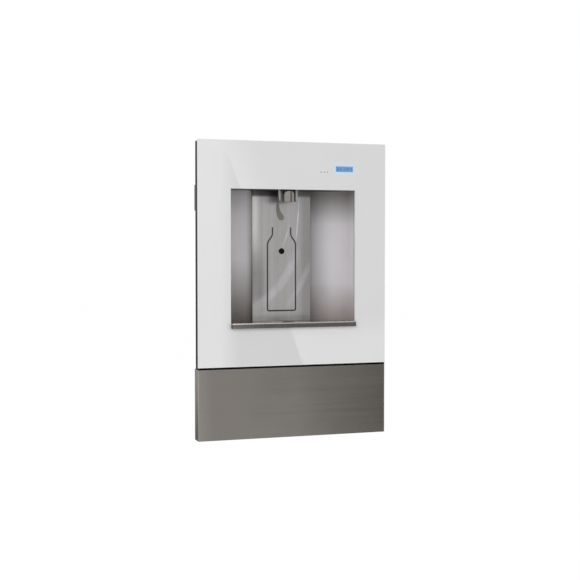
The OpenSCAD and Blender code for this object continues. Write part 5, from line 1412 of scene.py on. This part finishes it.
class STATION_OT_wall_box(bpy.types.Operator):
    """The galvanised wall box with its beaded back, spot welds, knockouts and stud brackets"""
    bl_idname = "station.wall_box"
    bl_label = "Wall Box"

    def execute(self, context):
        self.beaded_back(context.scene.station_box)
        dress("box_sides", 0.3 * MM)
        dress("box_ends", 0.3 * MM)
        dress("stud_brackets", 0.35 * MM, 3)
        self.spot_welds(context.scene.station_box)
        self.knockouts()
        return {"FINISHED"}

    def beaded_back(self, look):
        """The flat back with a pressed ring of beads and three cross beads, all inwards."""
        low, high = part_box("box_back")
        step = 2.5 * MM
        count_x, count_z = round((high.x - low.x) / step), round((high.z - low.z) / step)
        ring_half_x, ring_low, ring_high, corner = 0.140, -0.092, 0.236, 0.03
        cross_rows = [ring_low + (ring_high - ring_low) * share for share in (0.27, 0.5, 0.73)]
        middle_z = (ring_low + ring_high) / 2
        half_z = (ring_high - ring_low) / 2

        def depth(x, z):
            out_x = abs(x) - ring_half_x + corner
            out_z = abs(z - middle_z) - half_z + corner
            outside = Vector((max(out_x, 0.0), max(out_z, 0.0))).length + min(max(out_x, out_z), 0.0) - corner
            away = abs(outside)
            for row in cross_rows:
                away = min(away, Vector((max(abs(x) - ring_half_x * 0.72, 0.0), z - row)).length)
            share = max(0.0, 1.0 - away / look.bead_half)
            return look.bead_depth * share * share * (3 - 2 * share)

        shape = bmesh.new()
        rows = []
        for j in range(count_z + 1):
            z = low.z + (high.z - low.z) * j / count_z
            row = []
            for i in range(count_x + 1):
                x = low.x + (high.x - low.x) * i / count_x
                row.append(shape.verts.new((x, high.y - depth(x, z), z)))
            rows.append(row)
        for j in range(count_z):
            for i in range(count_x):
                shape.faces.new((rows[j][i], rows[j + 1][i], rows[j + 1][i + 1], rows[j][i + 1]))
        back = object_from("box_back_finished", shape, [finish("galvanised")])
        wall = back.modifiers.new("Sheet", "SOLIDIFY")
        wall.thickness = high.y - low.y
        wall.offset = -1.0
        settle(back)
        smooth(back)
        belongs(back, BODY_OF["box_back"], "galvanised", "box_back")

    def spot_welds(self, look):
        """Shallow round welds along the folds of the box, and on the brackets' feet."""
        low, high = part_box("box_sides")
        radius, rise, inset = 2.7 * MM, 0.14 * MM, 7 * MM
        bracket_sheet, bracket_inset, bracket_shares = 1.5 * MM, 9 * MM, (0.25, 0.75)
        profile = [(0, -rise), (radius, -rise), (radius * 0.92, rise), (radius * 0.62, rise * 0.5),
                   (0, rise * 0.2)]

        def evenly(start, end):
            """Places one weld step apart, in the middle of a length."""
            count = int((end - start - 2 * inset) / look.weld_step)
            first = (start + end - count * look.weld_step) / 2
            return [first + k * look.weld_step for k in range(count + 1)]

        spots_of = {}
        for side, facing, outwards in ((low.x, "left", -bracket_sheet), (high.x, "right", bracket_sheet)):
            spots = [(side, high.y - inset, z) for z in evenly(low.z, high.z)]
            for bracket_low, bracket_high in islands("stud_brackets"):
                if (bracket_low.x + bracket_high.x) * side > 0:
                    for share in bracket_shares:
                        z = bracket_low.z + share * (bracket_high.z - bracket_low.z)
                        spots.append((side + outwards, bracket_high.y - bracket_inset, z))
            spots_of[facing] = spots
        for level, facing in ((high.z, "up"), (low.z, "down")):
            spots_of[facing] = [(x, high.y - inset, level) for x in evenly(low.x, high.x)]
        for facing, spots in spots_of.items():
            studs("spot_welds_" + facing, profile, facing, spots, "station", "galvanised")

    def knockouts(self):
        """Round knockouts, half cut, in the sides and the top: a raised ring each."""
        low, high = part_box("box_sides")
        radius, rise, width = 11.1 * MM, 0.22 * MM, 0.7 * MM
        deep, lower, upper, aside = -44 * MM, 60 * MM, 100 * MM, 118 * MM
        profile = [(radius - width, -rise), (radius, -rise), (radius, rise), (radius - width, rise)]
        spots_of = {
            "left": [(low.x, deep, lower), (low.x, deep, upper)],
            "right": [(high.x, deep, lower), (high.x, deep, upper)],
            "up": [(aside, deep, high.z), (-aside, deep, high.z)],
        }
        for facing, spots in spots_of.items():
            studs("knockouts_" + facing, profile, facing, spots, "station", "galvanised", 48)


class STATION_OT_filter(bpy.types.Operator):
    """The filter head, the cartridge, its seals, bracket and cradle"""
    bl_idname = "station.filter"
    bl_label = "Filter"

    def execute(self, context):
        edge = context.scene.station_plastic.edge_round
        dress("filter_head", edge * 2, 3)
        cartridge = dress("filter_cartridge", edge * 2, 3)
        low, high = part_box("filter_cartridge")
        grip_length = 8.6 * MM
        paint_faces(cartridge, finish("blue_plastic"), lambda centre, normal: centre.x > high.x - grip_length)
        carry("filter_orings")
        dress("filter_bracket", 0.35 * MM)
        dress("filter_cradle", edge * 2)
        screws_of("bracket_screws", True, 11)
        self.bands(low, high)
        return {"FINISHED"}

    def bands(self, low, high):
        """Two raised rings, a coloured band and the ribs of the cartridge's cap."""
        axis_y, axis_z = (low.y + high.y) / 2, (low.z + high.z) / 2
        radius = (high.y - low.y) / 2
        neck_end = low.x + 20.5 * MM
        ring_at, ring_step, ring_half, ring_rise = 14 * MM, 5 * MM, 1.6 * MM, 0.25 * MM
        band_at, band_length, band_rise = 34 * MM, 66 * MM, 0.1 * MM
        cap_middle, rib_half, rib_side, rib_rise = 24 * MM, 8 * MM, 0.55 * MM, 0.28 * MM
        outer, sunk = radius + ring_rise, radius - 0.6 * MM
        ring = lathe("band_ring", [
            (sunk, -ring_half), (outer, -ring_half * 0.75), (outer, ring_half * 0.75), (sunk, ring_half)], 96)
        rings = grow("cartridge_rings", "Row", {
            "Part": ring, "Count": 2, "Start": (neck_end + ring_at, axis_y, axis_z),
            "Step": (ring_step, 0, 0), "Facing": FACE["right"], "Finish": finish("filter_white")})
        drop_object(ring)
        belongs(rings, "filter_cartridge", "filter_white")
        outer, sunk = radius + band_rise, radius - 0.3 * MM
        band = lathe("cartridge_band", [(sunk, 0), (outer, 0), (outer, band_length), (sunk, band_length)],
                     96, [finish("blue_plastic")])
        turn = Euler(FACE["right"]).to_matrix().to_4x4()
        band.data.transform(Matrix.Translation((neck_end + band_at, axis_y, axis_z)) @ turn)
        belongs(band, "filter_cartridge", "blue_plastic")
        rib = box_part("cap_rib", (-0.5 * MM, -rib_side, -rib_half), (rib_rise, rib_side, rib_half),
                       0.2 * MM, finish("filter_white"))
        ribs = grow("cartridge_ribs", "Wheel", {
            "Part": rib, "Count": 48, "Radius": radius, "Centre": (high.x - cap_middle, axis_y, axis_z),
            "Facing": FACE["right"], "Finish": finish("filter_white")})
        drop_object(rib)
        belongs(ribs, "filter_cartridge", "filter_white")


class STATION_OT_valves(bpy.types.Operator):
    """The water inlet, the shut-off valve and the solenoid valve"""
    bl_idname = "station.valves"
    bl_label = "Valves"

    def execute(self, context):
        edge = context.scene.station_plastic.edge_round
        dress("inlet_fitting", 0.3 * MM)
        dress("shutoff_body", 0.4 * MM)
        dress("shutoff_lever", edge)
        dress("valve_bracket", 0.35 * MM)
        dress("solenoid_body", edge)
        dress("solenoid_guide", 0.4 * MM)
        carry("solenoid_plunger")
        dress("solenoid_coil", 1.1 * MM, 3)
        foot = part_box("inlet_fitting")[0].z
        thread_start, thread_end, radius = 1.4 * MM, 13.5 * MM, 8.25 * MM
        thread("inlet_thread", "inlet_fitting", foot + thread_start, foot + thread_end, radius, "brass")
        self.lever_ribs()
        self.coil_frame()
        wound_spring("plunger_spring", "up", 6, 3 * MM)
        return {"FINISHED"}

    def lever_ribs(self):
        """Ribs for the thumb near the lever's end, and the slotted screw of its hub."""
        low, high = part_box("shutoff_lever")
        middle_x = (low.x + high.x) / 2
        from_end, step, from_foot = 13 * MM, 1.8 * MM, 5 * MM
        corner = Vector((3.2, 0.3, 0.35)) * MM
        rib = box_part("lever_rib", -corner, corner, 0.2 * MM, finish("blue_plastic"))
        ribs = grow("lever_ribs", "Row", {
            "Part": rib, "Count": 6, "Start": (middle_x, low.y, high.z - from_end), "Step": (0, 0, step),
            "Finish": finish("blue_plastic")})
        drop_object(rib)
        belongs(ribs, "shutoff_lever", "blue_plastic")
        part = pan_head("lever_screw_part", 2.6 * MM, 1.2 * MM, 1.2 * MM, 2 * MM, finish("zinc_steel"))
        seat = (middle_x, low.y, low.z + from_foot)
        screw = set_out("lever_screw", part, [seat], "front", finish("zinc_steel"), pi, 4)
        belongs(screw, "shutoff_lever", "zinc_steel")

    def coil_frame(self):
        """The steel strap round the coil."""
        low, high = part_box("solenoid_coil")
        guide_low, guide_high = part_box("solenoid_guide")
        x, y = (guide_low.x + guide_high.x) / 2, (guide_low.y + guide_high.y) / 2
        half, deep, sheet = 14 * MM, 9 * MM, 1.5 * MM
        shape = bmesh.new()
        for z in (low.z - sheet, high.z):
            add_box(shape, (x - half, y - deep, z), (x + half, y + deep, z + sheet))
        add_box(shape, (x - half - sheet, y - deep, low.z - sheet), (x - half, y + deep, high.z + sheet))
        strap = round_edges(object_from("coil_strap", shape, [finish("zinc_steel")]), 0.3 * MM)
        belongs(strap, "station", "zinc_steel")


def wound_spring(node, facing, turns, radius):
    """A spring of round wire in a node's place."""
    low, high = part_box(node)
    middle = (low + high) / 2
    wire = 0.4 * MM
    axis = Euler(FACE[facing]).to_matrix() @ Vector((0, 0, 1))
    whole = abs((high - low).dot(axis))
    length = whole - 2 * wire
    start = middle - axis * length / 2
    spring = grow(node + "_wire", "Coil Spring", {
        "Turns": float(turns), "Radius": radius, "Height": length, "Wire Radius": wire, "Start": start,
        "Facing": FACE[facing], "Finish": finish("spring_steel")})
    belongs(spring, BODY_OF[node], SLOT_OF[node], node)
    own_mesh(spring)


class STATION_OT_tubing(bpy.types.Operator):
    """The water tubes, their nuts, the drain hose and the drain outlet"""
    bl_idname = "station.tubing"
    bl_label = "Tubing"

    def execute(self, context):
        edge = context.scene.station_plastic.edge_round
        for node in ("filter_tubes", "nozzle_feed_tube", "drain_hose"):
            dress(node, 0.2 * MM)
        dress("drain_outlet", edge, 3)
        dress("service_nuts", edge * 1.6)
        dress("tube_nuts", edge)
        return {"FINISHED"}


class STATION_OT_electrics(bpy.types.Operator):
    """The control board and its cover, the power supply, the cables and the reset switch"""
    bl_idname = "station.electrics"
    bl_label = "Electrics"

    def execute(self, context):
        edge = context.scene.station_plastic.edge_round
        dress("control_board", 0.15 * MM)
        dress("control_case", edge)
        dress("power_supply", edge * 2, 3)
        dress("wiring", 0.1 * MM)
        dress("reset_housing", edge)
        dress("reset_button", 0.5 * MM, 3)
        wound_spring("reset_spring", "front", 5, 2.8 * MM)
        return {"FINISHED"}


class STATION_OT_stage(bpy.types.Operator):
    """The camera, the lamps, the floor and the white surroundings"""
    bl_idname = "station.stage"
    bl_label = "Stage"

    def execute(self, context):
        look = context.scene.station_stage
        self.camera(context.scene, look)
        self.world(context.scene, look)
        self.floor(look)
        self.lamps()
        self.cards()
        context.scene.view_settings.view_transform = "Standard"
        return {"FINISHED"}

    def camera(self, scene, look):
        """The camera at the photograph's viewing angle."""
        camera = bpy.data.cameras.new("camera")
        camera.lens = look.lens
        camera.sensor_width = 36.0
        camera.clip_end = 50.0
        eye = bpy.data.objects.new("camera", camera)
        eye.location = look.camera_at
        eye.rotation_euler = (radians(90 - look.camera_down), 0, radians(-look.camera_right))
        scene.collection.objects.link(eye)
        scene.camera = eye

    def world(self, scene, look):
        """White where it is seen or mirrored, and softer where it lights."""
        world = bpy.data.worlds.new("surroundings")
        world.use_nodes = True
        scene.world = world
        sheet = Sheet(world.node_tree)
        level = sheet.between(self.shown(sheet), 0.0, 1.0, look.sky, 1.0)
        light = sheet.add("ShaderNodeBackground", {"Color": (1, 1, 1, 1), "Strength": level})
        output = sheet.add("ShaderNodeOutputWorld")
        sheet.feed(output.inputs["Surface"], light.outputs["Background"])

    def shown(self, sheet):
        """One for a ray that shows what it meets: from the camera, off a mirror or through glass."""
        rays = sheet.add("ShaderNodeLightPath").outputs
        seen = sheet.math("MAXIMUM", rays["Is Camera Ray"], rays["Is Glossy Ray"])
        return sheet.math("MAXIMUM", seen, rays["Is Transmission Ray"])

    def floor(self, look):
        """A wide pale floor under the station, white where it is seen, with its shadow kept."""
        shape = bmesh.new()
        bmesh.ops.create_circle(shape, cap_ends=True, segments=96, radius=40.0)
        floor = object_from("floor", shape, [self.pale()])
        floor.location = (0, 0, look.floor_drop)

    def pale(self):
        """Pale paint that the camera sees almost as white."""
        material = bpy.data.materials.new("pale_floor")
        material.use_nodes = True
        sheet = Sheet(material.node_tree)
        share = sheet.math("MULTIPLY", self.shown(sheet), 0.88)
        paint = sheet.add("ShaderNodeBsdfDiffuse", {"Color": (0.86, 0.86, 0.86, 1)})
        white = sheet.add("ShaderNodeEmission", {"Color": (1, 1, 1, 1), "Strength": 1.06})
        mixed = sheet.add("ShaderNodeMixShader", {0: share, 1: paint.outputs[0], 2: white.outputs[0]})
        output = sheet.add("ShaderNodeOutputMaterial")
        sheet.feed(output.inputs["Surface"], mixed.outputs[0])
        return material

    def lamps(self):
        """Soft lamps: a key from the upper left, a weaker one from the right, and one from behind."""
        for name, at, aim, size, power in LAMPS:
            lamp = bpy.data.lights.new(name, "AREA")
            lamp.shape = "RECTANGLE"
            lamp.size, lamp.size_y = size
            lamp.energy = power
            thing = bpy.data.objects.new(name, lamp)
            thing.location = at
            thing.rotation_euler = (Vector(aim) - Vector(at)).to_track_quat("-Z", "Y").to_euler()
            thing.visible_glossy = False
            bpy.context.scene.collection.objects.link(thing)

    def cards(self):
        """Upright cards in front and behind that only show in what is polished."""
        for name, y, (left, right), (low, high), light in CARDS:
            shape = bmesh.new()
            corners = ((left, low), (right, low), (right, high), (left, high))
            shape.faces.new([shape.verts.new((x, y, z)) for x, z in corners])
            card = object_from(name, shape, [self.lit(name, light)])
            card.visible_camera = False
            card.visible_diffuse = False
            card.visible_shadow = False
            card.visible_transmission = False

    def lit(self, name, light):
        """A material that only gives light, as strong as a rule says from place to place."""
        material = bpy.data.materials.new(name)
        material.use_nodes = True
        sheet = Sheet(material.node_tree)
        axes = sheet.axes(sheet.place())
        strength = light(sheet, axes["X"], axes["Z"])
        glow = sheet.add("ShaderNodeEmission", {"Color": (1, 1, 1, 1), "Strength": strength})
        output = sheet.add("ShaderNodeOutputMaterial")
        sheet.feed(output.inputs["Surface"], glow.outputs[0])
        return material


# The studio card's ramps in metres, and the slanted edge in it: where it meets the level of the
# station's middle, and how far it leans
STUDIO_RAMPS = {
    "field": (0.61, 0.70, 1.0, 0.12), "beyond": (-0.34, -0.24, 0.85, 0.42), "high up": (0.0, 0.35),
    "by the edge": (0.0, 0.14, 0.5, 0.0), "past the edge": (-0.004, 0.004),
    "low field": (0.40, 1.30, 1.0, 0.12), "low down": (-0.50, -0.485, 1.0, 0.0),
}
SLANT_AT = 0.839
SLANT = -0.372
BACK_RAMPS = {"down": (-0.9, 1.4, 0.22, 1.0), "aside": (-2.2, 1.6, 1.0, 0.45)}


def studio_light(sheet, x, z):
    """White at the left, a dark field up to a slanted edge, grey beyond it."""
    past = sheet.math("SUBTRACT", x, sheet.math("MULTIPLY_ADD", z, SLANT, SLANT_AT))
    by_edge = sheet.product(
        sheet.between(past, *STUDIO_RAMPS["by the edge"]), sheet.between(z, *STUDIO_RAMPS["high up"]))
    beyond = sheet.math("ADD", sheet.between(z, *STUDIO_RAMPS["beyond"]), by_edge)
    field = sheet.between(x, *STUDIO_RAMPS["field"])
    upper = sheet.level(sheet.between(past, *STUDIO_RAMPS["past the edge"]), field, beyond)
    lower = sheet.between(x, *STUDIO_RAMPS["low field"])
    return sheet.level(sheet.between(z, *STUDIO_RAMPS["low down"]), upper, lower)


def back_light(sheet, x, z):
    """Light that falls off downwards and to one side, so that the zinc behind shows its beads."""
    return sheet.product(sheet.between(z, *BACK_RAMPS["down"]), sheet.between(x, *BACK_RAMPS["aside"]))


# Cards: name, depth, left and right end, lower and upper end in metres, and the rule of their light
CARDS = (
    ("studio_card", -3.0, (0.0, 3.0), (-1.25, 1.3), studio_light),
    ("back_card", 2.9, (-3.4, 3.4), (-1.25, 3.2), back_light),
)

# Lamps: name, place, aim, width and height in metres, power in watts
LAMPS = (
    ("key", (-1.9, -2.3, 1.5), (0, -0.1, 0), (1.6, 1.4), 33.0),
    ("fill", (1.9, -2.0, 0.5), (0, -0.1, 0), (1.2, 1.6), 7.5),
    ("back", (0.6, 2.4, 1.6), (0, 0, 0), (2.0, 1.4), 22.0),
)

PROPERTY_GROUPS = {
    "station_glass": GlassSettings, "station_steel": SteelSettings, "station_plastic": PlasticSettings,
    "station_box": BoxSettings, "station_stage": StageSettings,
}
OPERATORS = (
    STATION_OT_stage, STATION_OT_glass_front, STATION_OT_frame, STATION_OT_alcove, STATION_OT_back_plate,
    STATION_OT_nozzle, STATION_OT_tray, STATION_OT_access_panel, STATION_OT_wall_box, STATION_OT_filter,
    STATION_OT_valves, STATION_OT_tubing, STATION_OT_electrics,
)


class STATION_PT_sidebar(bpy.types.Panel):
    """The station's operators and settings"""
    bl_label = "Bottle Filling Station"
    bl_space_type = "VIEW_3D"
    bl_region_type = "UI"
    bl_category = "Station"

    def draw(self, context):
        for operator in OPERATORS:
            self.layout.operator(operator.bl_idname)
        for name, settings in PROPERTY_GROUPS.items():
            box = self.layout.box()
            box.label(text=settings.__doc__)
            for field in settings.__annotations__:
                box.prop(getattr(context.scene, name), field)


def register():
    """Registers the classes and hangs the settings on the scene."""
    for settings in PROPERTY_GROUPS.values():
        bpy.utils.register_class(settings)
    for operator in (*OPERATORS, STATION_PT_sidebar):
        bpy.utils.register_class(operator)
    for name, settings in PROPERTY_GROUPS.items():
        setattr(bpy.types.Scene, name, PointerProperty(type=settings))


def unregister():
    """Takes the settings and the classes away again."""
    for name in PROPERTY_GROUPS:
        delattr(bpy.types.Scene, name)
    for known in (*OPERATORS, STATION_PT_sidebar, *PROPERTY_GROUPS.values()):
        bpy.utils.unregister_class(known)


def main():
    """Builds the shared effects and calls the operators in order."""
    register()
    for build in (*SHARED_EFFECTS, *REPEAT_TREES):
        build()
    for operator in OPERATORS:
        group, name = operator.bl_idname.split(".")
        getattr(getattr(bpy.ops, group), name)()


if __name__ == "__main__":
    main()
